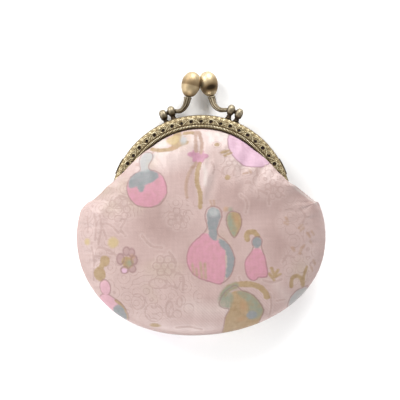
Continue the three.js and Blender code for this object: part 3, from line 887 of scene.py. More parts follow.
def rib_loop(wall):
    """All ribs of a panel, clockwise from the top, with the share of the way round of each."""
    both = []
    for side in (1, -1):
        ribs = side_ribs(side, wall)
        steps = np.linalg.norm(np.diff(ribs, axis=0), axis=2)
        gone = np.concatenate([[0], np.cumsum(0.5 * steps[:, 4] + 0.5 * steps[:, 1] + 1e-9)])
        both.append((gone / gone[-1] / 2, ribs))
    (right_at, right), (left_at, left) = both
    return np.concatenate([right_at, 1 - left_at[::-1][1:]]), np.concatenate([right, left[::-1][1:]])


# The dome's section from its crown to its edge, out and up, and the way along it, as shares of its reach.
section_turns = np.linspace(math.pi / 2, 0, 400)
section_out = np.cos(section_turns) ** (2 / dome_fullness)
section_up = 0.22 * np.sin(section_turns) ** (2 / dome_fullness)
section_way = np.concatenate([[0], np.cumsum(np.hypot(np.diff(section_out), np.diff(section_up)))])

# Soft dents of the front: place, direction and size as shares of the half width, and depth.
dents = (
    (0.1, 0.38, -72, 0.34, 0.07, 0.09),
    (-0.02, 0.42, -100, 0.26, 0.06, 0.06),
    (-0.7, 0.1, 18, 0.3, 0.07, 0.06),
)


def dented(spots, wall):
    """Front face: the dome less its dents."""
    x, y, z = spots.T
    sunk = 0
    for at_x, at_y, turn, length, width, depth in dents:
        c, s = math.cos(math.radians(turn)), math.sin(math.radians(turn))
        dx, dy = x / pouch_half_width - at_x, y / pouch_half_width - at_y
        along, across = (dx * c + dy * s) / length, (-dx * s + dy * c) / width
        sunk = sunk + depth * crown_height * np.exp(-2 * along**2 - across**2)
    fade = rise(z + wall * cloth_thick, face_z, crown_height * 0.8)
    return np.stack([x, y, z - fade * sunk], axis=1)


def flattened(spots, wall):
    """Back face: pressed flat where the table would be above it."""
    x, y, z = spots.T
    slope = math.radians(lying_tilt)
    height = purse_to_part.translation.z * 1000
    limit = (height - y * math.sin(slope)) / math.cos(slope) - wall * cloth_thick
    over = z - limit
    eased = z - np.clip(over + patch_ease, 0, None) ** 2 / (4 * patch_ease)
    return np.stack([x, y, np.where(over >= patch_ease, limit, eased)], axis=1)


def panel_places(shares, cells, wall, shape):
    """Where the vertices of a square grid go on a panel: the middle is the dome, its outer rows the edge."""
    a, b = shares[:, 0] * 2 - 1, shares[:, 1] * 2 - 1
    out = np.maximum(np.abs(a), np.abs(b))
    flat = np.abs(a) > np.abs(b)
    with np.errstate(divide="ignore", invalid="ignore"):
        turn = np.where(flat, np.pi / 4 * b / a + np.where(a < 0, np.pi, 0), 0)
        tall = np.pi / 2 - np.pi / 4 * a / b + np.where(b < 0, np.pi, 0)
    turn = np.where(flat, turn, np.where(out > 0, tall, 0))
    round_share = ((np.pi / 2 - turn) / (2 * np.pi)) % 1.0
    at, ribs = rib_loop(wall)
    lower = np.stack([[np.interp(round_share, at, ribs[:, i, k]) for k in range(3)] for i in range(5)])
    lower = lower.transpose(2, 0, 1)
    ring = np.round((1 - out) * cells / 2).astype(int)
    way = section_way[-1] * np.clip(out * cells / (cells - 2 * under_rows), 0, 1)
    dome = np.interp(way, section_way, section_out)[:, None]
    edge = lower[:, 4]
    crown = np.array([0, -dome_drop, crown_height - wall * cloth_thick])
    eased_at, eased = eased_loop(at, ribs[:, 4], corner_ease)
    calm = np.stack([np.interp(round_share, eased_at, eased[:, k], period=1) for k in range(3)], axis=1)
    edge = edge + (calm - edge) * (1 - rise(dome, 0.84, 1.0))
    spots = crown + (edge - crown) * dome
    up = (1 - dome[:, 0] ** dome_fullness) ** (1 / dome_fullness)
    spots[:, 2] = edge[:, 2] + (crown[2] - edge[:, 2]) * up
    outward = (edge - crown)[:, :2]
    way = way * np.linalg.norm(outward, axis=1)
    for i in range(under_rows)[::-1]:
        way = way + np.where(ring <= i, np.linalg.norm(lower[:, i] - lower[:, i + 1], axis=1), 0)
        spots[ring == i] = lower[ring == i, i]
    cloth = crown[:2] + outward / np.linalg.norm(outward, axis=1)[:, None] * way[:, None]
    cloth = np.where((ring >= under_rows)[:, None], spread_flat(spots[:, :2]), cloth)
    return shape(spots, wall), cloth, round_share, ring


def swollen(spots, shares, cells, ring, slack):
    """Lets the dome fill and slacken as padded cloth: a cloth simulation held along its edge, of which the
    small unevenness is kept and the swelling mostly taken off."""
    bm = bmesh.new()
    bmesh.ops.create_grid(bm, x_segments=cells, y_segments=cells, size=0.5)
    for v, spot in zip(bm.verts, spots):
        v.co = spot * trial_scale
    mesh = bpy.data.meshes.new("trial_cloth")
    bm.to_mesh(mesh)
    bm.free()
    trial = bpy.data.objects.new("trial_cloth", mesh)
    bpy.context.scene.collection.objects.link(trial)
    held = trial.vertex_groups.new(name="held")
    held.add([int(i) for i in np.flatnonzero(ring <= under_rows)], 1.0, "REPLACE")
    cloth = trial.modifiers.new("cloth", "CLOTH")
    settings = cloth.settings
    settings.quality = 6
    settings.mass = 0.25
    settings.tension_stiffness = 20
    settings.compression_stiffness = 20
    settings.shear_stiffness = 8
    settings.bending_stiffness = 0.6
    settings.vertex_group_mass = "held"
    settings.use_pressure = True
    settings.uniform_pressure_force = 1.6
    settings.shrink_min = -slack
    settings.effector_weights.gravity = 0
    cloth.collision_settings.use_collision = False
    scene = bpy.context.scene
    for step in range(1, trial_frames + 1):
        scene.frame_set(step)
    made = trial.evaluated_get(bpy.context.evaluated_depsgraph_get()).data
    moved = np.empty(3 * len(made.vertices))
    made.vertices.foreach_get("co", moved)
    moved = moved.reshape(-1, 3) / trial_scale - spots
    scene.frame_set(1)
    bpy.data.objects.remove(trial)
    bpy.data.meshes.remove(mesh)
    side = cells + 1
    order = np.lexsort((np.round(shares[:, 0] * cells), np.round(shares[:, 1] * cells)))
    field = moved[order].reshape(side, side, 3)
    calm = field
    for _ in range(calm_rounds):
        wide = np.pad(calm, ((1, 1), (1, 1), (0, 0)), mode="edge")
        calm = (wide[:-2, 1:-1] + wide[2:, 1:-1] + wide[1:-1, :-2] + wide[1:-1, 2:]) / 4
    kept = (field - calm) * swell_kept
    size = np.linalg.norm(kept, axis=2, keepdims=True)
    kept = kept * np.minimum(1, swell_cap / np.maximum(size, tiny))
    result = np.empty_like(moved)
    result[order] = kept.reshape(-1, 3)
    return result


# Puckers along the cloth's edge: how high, how many go round, where they start, and how far and in how
# many places they crowd together.
puckers = (
    (0.50, 37, 0, 1.3, 3),
    (0.35, 53, 0.7, 1, 5),
    (0.30, 23, 2.1, 0, 1),
)
pucker_height = 0.17
pucker_height_on_seam = 0.05


def gathers(round_share, ring, cells):
    """Small puckers where the cloth is drawn into the channel and the seam, fading over a few centimetres."""
    into = np.clip((ring - under_rows) / (cells / 2 - under_rows), 0, 1)
    turn = 2 * np.pi * round_share
    wave = 0
    for high, count, start, crowding, crowds in puckers:
        wave = wave + high * np.sin(count * turn + start + crowding * np.sin(crowds * turn))
    along_seam = rise(round_share, 0.25, 0.30) * (1 - rise(round_share, 0.70, 0.75))
    strength = pucker_height + (pucker_height_on_seam - pucker_height) * along_seam
    return strength * wave * rise(into, 0.0, 0.05) * (1 - rise(into, 0.08, 0.34))


# Pleats and folds of the front that the photograph shows: place, direction, length, width and height in
# millimetres. Two ridges run down under the bow beside two hollows; the rest are faint, at the two
# shoulders and across the belly.
pleats = (
    (3.0, 11.0, -107, 9.5, 1.2, 0.95),
    (1.6, 20.0, -98, 9.0, 2.0, 0.45),
    (5.8, 9.8, -109, 10.0, 1.7, -0.60),
    (10.5, 6.0, -112, 12.0, 4.0, -0.32),
    (41.0, -12.5, -3, 14.0, 2.4, 0.16),
    (30.0, 13.5, -48, 12.0, 1.6, 0.22),
    (33.5, 10.0, -50, 12.0, 1.6, -0.20),
    (-47.0, -6.0, 84, 12.0, 1.8, 0.30),
    (-43.0, -7.0, 80, 12.0, 1.9, -0.28),
    (-40.5, 2.0, 38, 9.0, 1.7, 0.26),
    (-30.0, -22.0, 30, 18.0, 3.4, 0.22),
    (18.0, -30.0, -20, 18.0, 3.6, 0.20),
    (-10.0, -45.0, 8, 18.0, 2.8, 0.20),
)


def pleated(spots, rows):
    """Height that the pleats add, each a straight ridge or hollow with a slight bend."""
    x, y = spots[:, 0], spots[:, 1]
    height = np.zeros(len(spots))
    for at_x, at_y, turn, length, width, up in rows:
        c, s = math.cos(math.radians(turn)), math.sin(math.radians(turn))
        along = ((x - at_x) * c + (y - at_y) * s) / length
        bend = 0.05 * ((x - at_x) * c + (y - at_y) * s) ** 2 / length
        across = (-(x - at_x) * s + (y - at_y) * c - bend) / width
        height += up * np.exp(-(along**2) - across**2)
    return height


def as_object(name, spots, cloth, seam_shadow, cells):
    """A grid of cloth as an object, with each vertex's place on the flat cloth and its share of the painted
    shadow along the seam.
    """
    bm = bmesh.new()
    bmesh.ops.create_grid(bm, x_segments=cells, y_segments=cells, size=0.5)
    across, up, sewn = (bm.verts.layers.float.new(key) for key in ("cloth_x", "cloth_y", "seam_shadow"))
    for v, spot, (flat_x, flat_y), seam in zip(bm.verts, spots, cloth, seam_shadow):
        v.co, v[across], v[up], v[sewn] = spot, flat_x, flat_y, seam
    mesh = bpy.data.meshes.new(name)
    bm.to_mesh(mesh)
    bm.free()
    piece = bpy.data.objects.new(name, mesh)
    bpy.context.scene.collection.objects.link(piece)
    return piece


def smoothed(piece, levels):
    """The piece's mesh after a subdivision surface, as a bmesh; the piece itself is taken away."""
    if levels:
        finer = piece.modifiers.new("finer", "SUBSURF")
        finer.levels = finer.render_levels = levels
        finer.boundary_smooth = "PRESERVE_CORNERS"
    made = bpy.data.meshes.new_from_object(piece.evaluated_get(bpy.context.evaluated_depsgraph_get()))
    old = piece.data
    bpy.data.objects.remove(piece)
    bpy.data.meshes.remove(old)
    bm = bmesh.new()
    bm.from_mesh(made)
    bpy.data.meshes.remove(made)
    return bm


def spread_flat(points):
    """Places on the cloth spread flat, for places of the figure as seen from the front."""
    offset = np.asarray(points, float) - np.array([0, -dome_drop])
    reach = np.linalg.norm(offset, axis=1)
    bearing = np.arctan2(offset[:, 0], offset[:, 1])
    length = np.interp(bearing, edge_bearing, edge_reach, period=2 * np.pi)
    way = np.interp(reach / length, section_out, section_way) * length
    return offset / np.maximum(reach, tiny)[:, None] * way[:, None] + np.array([0, -dome_drop])


edge_offset = rib_loop(0)[1][:, 4, :2] - np.array([0, -dome_drop])
edge_bearing = np.arctan2(edge_offset[:, 0], edge_offset[:, 1])
edge_reach = np.linalg.norm(edge_offset, axis=1)


# The woven figure: gourds with their tendrils, ribbons, a tied bow, leaves and blossoms, set out by colour
# in millimetres from the centre of the frame's arch, and the painted light, painted shade and painted
# highlights laid on the cloth. Each shape gives its distance from a place, below zero inside it.
def oval(x, y, across, up):
    def away(spots):
        centre = spread_flat([[x, y]])[0]
        dx, dy = (spots - centre).T
        return (np.sqrt((dx / across) ** 2 + (dy / up) ** 2) - 1) * min(across, up)

    return away


def blossom(x, y, reach, count):
    """A round flower: a number of petals about a middle."""
    turns = [2 * math.pi * i / count for i in range(count)]
    size = reach * math.sin(math.pi / count)
    heads = [oval(x + reach * math.cos(t), y + reach * math.sin(t), size, size) for t in turns]
    return [*heads, oval(x, y, reach * 0.42, reach * 0.42)]


def gap_to(spots, start, end):
    """How far places are from a straight line."""
    run = end - start
    share = np.clip(((spots - start) @ run) / max(run @ run, 1e-9), 0, 1)
    return np.linalg.norm(spots - start - share[:, None] * run, axis=1)


def rounded(points, closed):
    """A smooth line through the points."""
    points = np.array(points, float)
    count = len(points)
    if count < 3:
        return points

    def pick(k):
        return points[k % count] if closed else points[min(max(k, 0), count - 1)]

    made = []
    for i in range(count if closed else count - 1):
        p, a, b, q = pick(i - 1), pick(i), pick(i + 1), pick(i + 2)
        bend, twist = 2 * p - 5 * a + 4 * b - q, 3 * a - p - 3 * b + q
        for t in np.arange(5) / 5:
            made.append(0.5 * (2 * a + (b - p) * t + bend * t**2 + twist * t**3))
    return np.array(made if closed else made + [points[-1]])


def strip(half_width, points):
    def away(spots):
        line = spread_flat(rounded(points, closed=False))
        return np.min([gap_to(spots, a, b) for a, b in zip(line, line[1:])], axis=0) - half_width

    return away


def blob(points):
    def away(spots):
        line = spread_flat(rounded(points, closed=True))
        gap = np.full(len(spots), 1e3)
        inside = np.zeros(len(spots), bool)
        for a, b in zip(line, np.roll(line, -1, axis=0)):
            gap = np.minimum(gap, gap_to(spots, a, b))
            crosses = (a[1] > spots[:, 1]) != (b[1] > spots[:, 1])
            with np.errstate(divide="ignore", invalid="ignore"):
                reach = (b[0] - a[0]) * (spots[:, 1] - a[1]) / (b[1] - a[1]) + a[0]
            inside ^= crosses & (spots[:, 0] < reach)
        return np.where(inside, -gap, gap)

    return away


def ovals(*rows):
    return [oval(*row) for row in rows]


def strips(half_width, *lines):
    return [strip(half_width, points) for points in lines]


# Petals of the plum blossom low at the left, woven in plum with a thin outline.
petals = ovals(
    (-37.1, -25.5, 1.7, 2.4), (-34.4, -22, 1.5, 1.9), (-32, -22.6, 1.4, 1.8), (-30.8, -26, 1.4, 2),
    (-31.6, -30, 1.5, 1.6), (-35.2, -30.5, 1.7, 1.6),
)

figure = {
    "plum": petals,
    "line": [
        blob([
            (5.8, -1.2), (8.6, -2.4), (9.6, -5.9), (8.6, -9), (7.5, -12.2), (8.2, -14.7), (11.2, -17),
            (14, -20.8), (15.4, -25.4), (14.7, -30.6), (12.6, -34.4), (8.5, -36.9), (3.7, -35.8),
            (-1.4, -34), (-5, -30.6), (-6.6, -25.4), (-5.4, -20.5), (-2.4, -16.8), (1, -13.9), (2.9, -10.9),
            (2.2, -8.1), (1.9, -5.3), (3, -2.3),
        ]),
        blob([
            (-25.4, 25), (-23.3, 24.3), (-22.7, 22.2), (-23.3, 20.1), (-24.3, 17.8), (-23.8, 15.9),
            (-20.7, 15), (-17.7, 12.6), (-15.9, 7.5), (-16.2, 3.2), (-18.8, -0.3), (-22.6, -1.6),
            (-28.2, -1.4), (-32, 1.3), (-34.1, 6), (-33.4, 10.7), (-30.6, 14.2), (-28.6, 16), (-28.8, 18.4),
            (-29.2, 20.8), (-27.9, 23.9),
        ]),
        blob([
            (27, -15.4), (28.2, -17), (27.9, -19.6), (29.3, -24.5), (30.2, -28.7), (30.5, -33.2),
            (28.1, -33.8), (26.3, -33.7), (25.2, -34.8), (23.5, -35.1), (21.3, -33.4), (20.1, -29.7),
            (20.6, -25.9), (22.7, -22.9), (24, -20.3), (23.4, -17.5), (24.8, -15.6),
        ]),
        blob([
            (15.3, -15.8), (12.9, -12.3), (11.8, -9), (11.9, -5.7), (13.3, -3.9), (15.4, -3.7),
            (17.6, -4.6), (18.7, -7.1), (18.5, -10.4), (17.1, -13.2),
        ]),
        blob([
            (-47.5, -43.3), (-44.2, -41.7), (-40.9, -43.1), (-37.6, -45.4), (-35, -48.7), (-33.9, -53.6),
            (-39, -55), (-44.7, -50.3),
        ]),
        blob([
            (8.5, -46.6), (8.9, -44.2), (10.3, -41.6), (12.6, -39.3), (16, -37.6), (18.8, -39.9),
            (22.8, -41.2), (26, -43.9), (28.7, -47.9), (28.9, -50.6), (27.2, -54.6), (24.8, -59.8),
            (18.3, -62.8), (10.1, -62.8), (10.5, -56.9), (11.4, -52.2), (13, -48.6), (10.3, -48.1),
        ]),
        blob([(40.9, -48.5), (41.4, -44), (43.9, -40.7), (46.3, -39.3), (50.2, -38.6)]),
        *petals,
        *ovals((26.1, 31.6, 12.2, 12.2), (-44.6, -38.7, 2.9, 3.9)),
    ],
    "rose": ovals((26.1, 31.6, 12.2, 12.2), (-35.3, -30.9, 1.1, 1)),
    "blush": [
        blob([
            (-47.5, -43.3), (-44.2, -41.8), (-40.9, -43.4), (-38.3, -46.1), (-39, -49.2), (-41.4, -50.6),
            (-44.7, -50.3),
        ]),
        oval(-44.7, -38.7, 2.6, 3.7),
    ],
    "pink": [
        blob([
            (3.2, -14.3), (6.1, -16.6), (8.5, -17.2), (10.5, -20.8), (11, -26.9), (10.8, -33), (9.3, -36.7),
            (8.5, -36.9), (3.7, -35.8), (-1.4, -34), (-5, -30.6), (-6.6, -25.4), (-5.4, -20.5),
            (-2.4, -16.8), (1, -13.9),
        ]),
        blob([
            (26.7, -20.8), (29.3, -24.5), (30.2, -28.7), (30.5, -33.2), (28.1, -33.8), (26.3, -33.7),
            (25.2, -34.8), (23.5, -35.1), (21.3, -33.4), (20.1, -29.7), (20.6, -25.9), (22.7, -22.9),
            (24.6, -21),
        ]),
        oval(-24.9, 7, 9, 8.5),
    ],
    "tan": [
        blob([
            (15.3, -15.3), (13, -11.8), (12.1, -8.5), (12.2, -6), (13.6, -4.2), (15.4, -3.9), (17.6, -4.8),
            (18.5, -7.1), (18.3, -10.4), (17, -13.1),
        ]),
        blob([(-12.7, 33.7), (-9.9, 34.4), (-9.5, 30.4), (-9.9, 27.6), (-12, 26.2), (-13.7, 27.6)]),
        blob([
            (14, -41.4), (17.8, -40.2), (21.6, -40.9), (25.3, -43.5), (28.4, -47.8), (28.7, -50.3),
            (27, -54.6), (24.8, -59.3), (18.3, -62.1), (10.5, -62.1), (10.7, -56.9), (11.5, -52.2),
            (13.6, -48.2),
        ]),
        blob([
            (-36.2, -26), (-35.3, -24.6), (-33.4, -24.9), (-31.8, -25.6), (-31.3, -27.4), (-32.2, -29.2),
            (-33.9, -29.5), (-35.7, -28.6),
        ]),
        *ovals(
            (-44.4, -26.3, 2.2, 2.3), (-47.1, -32.4, 2.9, 3.3), (7.4, 27.8, 1, 0.9), (12.3, 12.3, 1.1, 1),
            (-21.4, -56.2, 2, 0.9),
        ),
        *strips(
            0.8,
            [(-23.4, 26.5), (-19.5, 25.6), (-15.9, 25.5), (-12.5, 26.4), (-9.3, 28.2), (-6.9, 29)],
            [(-0.6, 18.7), (-1.9, 14), (-1.7, 9.1), (-0.4, 4.6), (-0.4, -1.5)],
            [(41.9, -37.9), (42.1, -35.1), (43.4, -33.4), (45.3, -33.4), (46.9, -35.1), (47.9, -37.9)],
        ),
        strip(1.03, [(-7.6, 34.1), (-2.2, 34)]),
        strip(0.99, [(21.3, -16.5), (21, -14.4), (22.5, -13), (24.4, -13.2), (26, -14.9)]),
        *strips(0.47, [(33.7, -33.4), (32.4, -29.7)], [(33.7, -33.4), (35.4, -30.6)]),
        *strips(
            0.42,
            [(33.7, -33.7), (36.6, -32.3)], [(33.7, -35.1), (31.4, -32.3)], [(9.6, 23.9), (13.1, 25.2)],
        ),
        strip(1.17, [
            (10.3, -41.9), (12.2, -39.3), (15, -37.7), (20.6, -36.9), (25.9, -37.8), (29.1, -40.2),
            (30.4, -42.8),
        ]),
        strip(0.56, [(48.1, -37.2), (48, -33.4), (49.1, -29.2)]),
        strip(1.13, [(-45.1, -26.9), (-46.8, -30.6)]),
        strip(0.66, [(-39.3, -44.7), (-36.4, -47.8), (-34.7, -52.7)]),
        strip(0.38, [(10.8, 22.5), (14, 24)]),
    ],
    "rust": [
        *strips(0.66, [(-2.4, 34.7), (-2.7, 29), (-2.5, 24.8)], [(-1, 34.7), (0.3, 29), (0, 24.3)]),
        strip(0.54, [(-2.4, 19.2), (-5, 15.4), (-6.5, 11.6), (-7, 7.4), (-6.6, 3)]),
        *strips(
            0.42,
            [(-2.2, -30.1), (-1.9, -33)], [(1.8, -27.8), (2.1, -34.4)], [(39.2, -6.2), (40.1, -8.1)],
            [(38.7, -8.8), (39.9, -9.3)], [(45.3, -11.1), (46.7, -9.7)], [(46, -12.3), (47.4, -10.9)],
            [(49.3, -13.5), (50.4, -15.1)], [(52.5, -25.9), (53.7, -27.8)],
        ),
        *strips(
            0.47,
            [(-0.3, -27.3), (0.4, -33.9)], [(42.1, -20.1), (42.8, -21.5)], [(45.6, -22.9), (46.4, -20.1)],
        ),
        *strips(0.33, [(-4, -27.8), (-3.6, -31.6)], [(50.7, -17), (51.6, -17.9)]),
        *strips(0.23, [(4.9, -1), (4.2, 1.3)], [(6.3, -1), (5.9, 1.5)]),
        *strips(
            0.38,
            [(51.6, -12.5), (52.5, -13.9)], [(46.7, -20.3), (47.6, -18.9)], [(51.8, -29.2), (52.5, -31.1)],
        ),
        *strips(0.28, [(22.5, 16.1), (23, 14.7)], [(19.7, 14.2), (21.6, 14.5)]),
    ],
    "yellow": ovals(
        (-13.5, 30.8, 3, 2.8), (-40.5, -17.9, 2.3, 2.3), (-53.2, -17.4, 1.4, 1.3),
    ),
    "green": [
        blob([
            (15.1, -15.1), (13, -11.8), (12.1, -8.5), (12.2, -6), (13.4, -4.4), (14.3, -6.7), (15.2, -9.5),
            (16.2, -11.8),
        ]),
        blob([
            (8.8, -44.7), (10.3, -42.1), (13.1, -40.7), (14.7, -42.8), (14, -46.1), (12.9, -48.2),
            (10.3, -47.8), (8.5, -46.6),
        ]),
        blob([
            (16.9, -40.6), (19.7, -40.4), (23.4, -42), (26.5, -44.9), (28.6, -48.7), (28.1, -51.3),
            (25.3, -53.2), (21.8, -52.2), (22.5, -48), (20.9, -44.5), (18.3, -42.4),
        ]),
        *ovals((13.4, -2.8, 0.8, 0.7), (-33, -27.4, 1.1, 1.2)),
        strip(1.27, [(9.3, -44.2), (10.8, -40.9), (13.1, -38.8), (15.9, -37.6)]),
    ],
    "grey": [
        blob([
            (5.8, -2), (7.9, -3.1), (8.7, -6), (7.8, -9), (7.1, -11.8), (7.3, -14.7), (6.4, -16.8),
            (3.9, -14.7), (3.5, -11.4), (3, -8.1), (2.8, -5.3), (3.7, -2.7),
        ]),
        blob([
            (8.2, -16.4), (11.2, -17.7), (13.5, -20.5), (14.9, -25), (14.7, -29.7), (12.4, -33.7),
            (11.5, -33), (12.1, -27.3), (11.5, -21.9), (9.2, -19.6),
        ]),
        blob([
            (-32.8, 7.4), (-33, 10.9), (-30.6, 14.2), (-27.3, 15.6), (-23.5, 15.5), (-20.7, 14.5),
            (-19.8, 12.6), (-22.8, 10.1), (-25.4, 8.8), (-26.6, 6.1), (-28.1, 5.5), (-29.5, 7.7),
        ]),
        blob([(-41.1, -49.4), (-38.8, -46.8), (-36.4, -48.4), (-34.8, -53.2), (-38.6, -54.1)]),
        *ovals((25.7, -17.9, 2.1, 2.3), (23.6, -51.4, 2.3, 1.9)),
    ],
    "pale": [
        blob([
            (-25.4, 24.7), (-23.5, 23.9), (-23.1, 22), (-23.7, 20), (-24.7, 17.8), (-24.2, 15.6),
            (-28, 15.8), (-28.4, 18.4), (-28.8, 20.8), (-27.5, 23.6),
        ]),
        blob([
            (41.2, -48.2), (41.7, -44.2), (44.1, -41), (46.4, -39.6), (49.7, -39.1), (48.5, -41.6),
            (45.5, -44.7), (41.9, -48.5),
        ]),
        *ovals((-8.3, 30.4, 1.3, 2.2), (-25.2, 22.3, 3, 3), (5.8, -4.1, 2, 1.8)),
    ],
    "orange": ovals(
        (16.6, -7.1, 0.5, 0.9), (11.3, -2.6, 0.7, 0.7), (-13.3, 26.3, 0.9, 0.7), (19.5, -47.3, 1, 1.9),
        (18.7, -53.4, 1.6, 0.9), (21.3, -57.4, 2.2, 0.8), (-31.7, -24.4, 0.8, 0.7),
    ),
    "ghost": [
        *blossom(-10.5, -7, 3.6, 7),
        *blossom(-38.5, -2.5, 4.2, 8),
        *blossom(-17, -28.5, 3.4, 6),
        *blossom(15.5, 19, 2.6, 6),
        *blossom(33.5, 6.5, 3.2, 7),
        *ovals(
            (-21.9, -50.3, 4.2, 4.5), (-14.6, -48.7, 1.7, 3.8), (-20, -36.7, 4, 2.3),
            (-10, -45.4, 1.2, 2.3), (7.4, 27.8, 2, 1.7), (12, 23.8, 3.2, 1.7), (12.2, 15.4, 2.5, 2.2),
            (20.9, 14.9, 2.8, 2), (-29.2, -45.2, 3.1, 3.8),
        ),
        *strips(
            0.25,
            [(-49.8, -4.3), (-48.7, -9.5), (-49.1, -16.5)], [(-47, -5.3), (-46.2, -10.9), (-47.5, -18.4)],
            [(-53.1, -5.7), (-53.1, -13.2)], [(-51, -19.8), (-49.8, -26.9), (-50.5, -35.3)],
            [(-46.1, -9.5), (-43.7, -9), (-40.9, -10.4), (-38.1, -13.5)], [(-45.6, -10.9), (-43.7, -15.6)],
            [(-47.5, -19.8), (-42.8, -21.2), (-39, -24)], [(-48.9, -24), (-41.8, -24.5)],
            [(-13.2, -31.3), (-9.4, -32.5), (-8, -34.4), (-8.5, -40)],
            [(-17, -38.6), (-14.1, -37.9), (-11.3, -38.8)], [(-11.8, -57.4), (-5.2, -56.9), (0.4, -58.3)],
            [(31.7, -41.4), (32.6, -47.1), (31.7, -53.2)], [(28.6, -35.1), (32.8, -36), (37.1, -34.8)],
            [(17.3, -33.9), (18.7, -37.2)], [(34.7, -44.7), (38.9, -44.2)],
            [(4.9, 19.6), (6.1, 16.8), (5.6, 14)], [(15, 17.8), (15, 13.5)], [(25.8, 17.3), (26.3, 13.5)],
            [(-38.1, 4.1), (-34.3, 2.7), (-31.5, -0.6)], [(-35.3, -8.1), (-37.1, -11.8), (-34.8, -14.7)],
            [(26.7, 6), (30.5, 4.1), (31.4, -0.1)], [(33.3, 11.2), (35.2, 6), (38.5, 3.7)],
            [(37.5, -26.9), (39.4, -24), (42.7, -24.5)], [(46.4, -2), (48.3, -5.3), (46.9, -8.5)],
            [(-27.3, -14.7), (-23.1, -19.3), (-17.9, -20.3)],
            [(-14.6, -22.2), (-11.8, -26.9), (-12.7, -31.6)], [(18.3, 4.1), (21.1, 0.4), (20.6, -3.9)],
        ),
    ],
    # painted highlights under the yellow gourd and the arch, on the pleat's lit flank and the right
    # shoulder's rolled edge
    "white": [
        blob([(-22.5, 28), (-17.5, 31), (-15.8, 29.6), (-16.5, 27.4), (-20, 26.9)]),
        oval(9, 33.5, 5.5, 1.4),
        strip(0.25, [(41.5, 9.5), (45.6, 7), (49.4, 4.7), (52.9, 2.1), (54.6, 0.9)]),
        strip(0.3, [(1.2, 17.5), (2.1, 14.3), (1.9, 9)]),
        strip(0.4, [(-21.5, 23.9), (-15.5, 23.6)]),
    ],
    "mauve": ovals(
        (-1.5, 22.1, 2.5, 1.7), (-4.6, 23, 1.5, 1.1), (1.9, 22.3, 1.4, 1.2), (-2.9, 24, 1.2, 1.2),
        (0.2, 24, 1.1, 1.1), (-2.9, 20.6, 1.1, 1.1), (0.1, 20.5, 1.2, 1.2), (-1.2, 18.8, 0.9, 1.6),
    ),
    # painted light: paler ground under the arch, on the pleat's left flank and low on the belly
    "painted_light": [
        *ovals((-20, 23, 15, 7), (2.5, 31, 11, 6), (2.4, 14, 2.6, 9), (17, 21, 8, 5)),
        strip(1.5, [(-6, -47), (4, -49), (12, -48)]),
        strip(0.2, [(35, -38), (41, -44)]),
    ],
    # painted shade: darker ground on the right shoulder, mid right, mid left, low right and along the left
    # edge
    "shade": [
        *ovals((46, -2, 14, 12), (24, 3, 17, 9), (-17, -9, 11, 10), (40, -18, 10, 10)),
        strip(1, [(-54.5, -8), (-54, -21)]),
    ],
    "haze": [
        *ovals(
            (-45, 6, 6, 3), (-30, 4, 4, 6), (-41.8, -1, 4, 3.5), (-36.7, 7.4, 2.8, 3.8),
            (-9, 30.4, 3.8, 4.2), (-24, 19.6, 2.8, 2.8), (46.4, -31.6, 4.2, 5.6), (-17.9, -30.6, 6.6, 3.8),
            (9.8, -21.2, 2.3, 5.6),
        ),
        *strips(0.5, [(-25.3, -38.4), (-23.4, -40.4), (-21.4, -43.5)], [(-23.7, -41), (-22.9, -38.1)]),
    ],
    # where pale drawings of flowers and clouds fill the satin between the figures
    "drawn": ovals(
        (-52, -6, 8, 17), (-38, 0, 11, 9), (-44, -26, 8, 12), (-10, -4, 8, 8), (-22, -42, 22, 13),
        (14, 18, 7, 9), (30, 10, 12, 9), (44, -8, 9, 11), (46, -28, 9, 12), (-24, 30, 5, 5),
        (30, -54, 9, 5),
    ),
}

# Colours of the weft, from the first laid to the last, the first being the white of the painted highlights:
# how many millimetres the colour takes to fade into its neighbours, and its two tones.
weft = (
    # white: the tone of the painted highlights
    ("white", 0.9, (0.50, 0.46, 0.43), (0.44, 0.39, 0.36)),
    ("pink", 0.2, (0.415, 0.197, 0.246), (0.372, 0.187, 0.212)),
    ("plum", 0.6, (0.270, 0.175, 0.165), (0.310, 0.200, 0.195)),
    ("blush", 0.2, (0.450, 0.265, 0.300), (0.410, 0.240, 0.270)),
    ("rose", 0.2, (0.465, 0.305, 0.380), (0.43, 0.27, 0.34)),
    ("mauve", 0.3, (0.37, 0.19, 0.25), (0.33, 0.165, 0.215)),
    ("tan", 0.3, (0.256, 0.170, 0.090), (0.308, 0.218, 0.128)),
    ("rust", 0.4, (0.29, 0.185, 0.14), (0.33, 0.23, 0.185)),
    ("yellow", 0.6, (0.38, 0.285, 0.125), (0.37, 0.28, 0.155)),
    ("green", 0.8, (0.205, 0.195, 0.135), (0.190, 0.205, 0.155)),
    ("grey", 0.4, (0.168, 0.182, 0.184), (0.205, 0.198, 0.204)),
    ("pale", 0.7, (0.28, 0.30, 0.29), (0.30, 0.29, 0.29)),
    ("orange", 0.8, (0.33, 0.195, 0.10), (0.30, 0.18, 0.10)),
)


# The satin ground's two tones, and the tones that lie over parts of it (painted light, painted shade, tan
# haze): millimetres from a part's edge where the tone begins, where it is full, its strength, and the tone.
ground_dark = (0.352, 0.250, 0.230)
ground_pale = (0.392, 0.285, 0.266)
ground_parts = (
    ("painted_light", 4.0, -3.0, 0.60, (0.510, 0.425, 0.400)),
    ("shade", 4.0, -5.0, 0.56, (0.260, 0.175, 0.158)),
    ("haze", 3.0, -3.0, 0.50, (0.32, 0.25, 0.17)),
)
colour_edge = 0.22


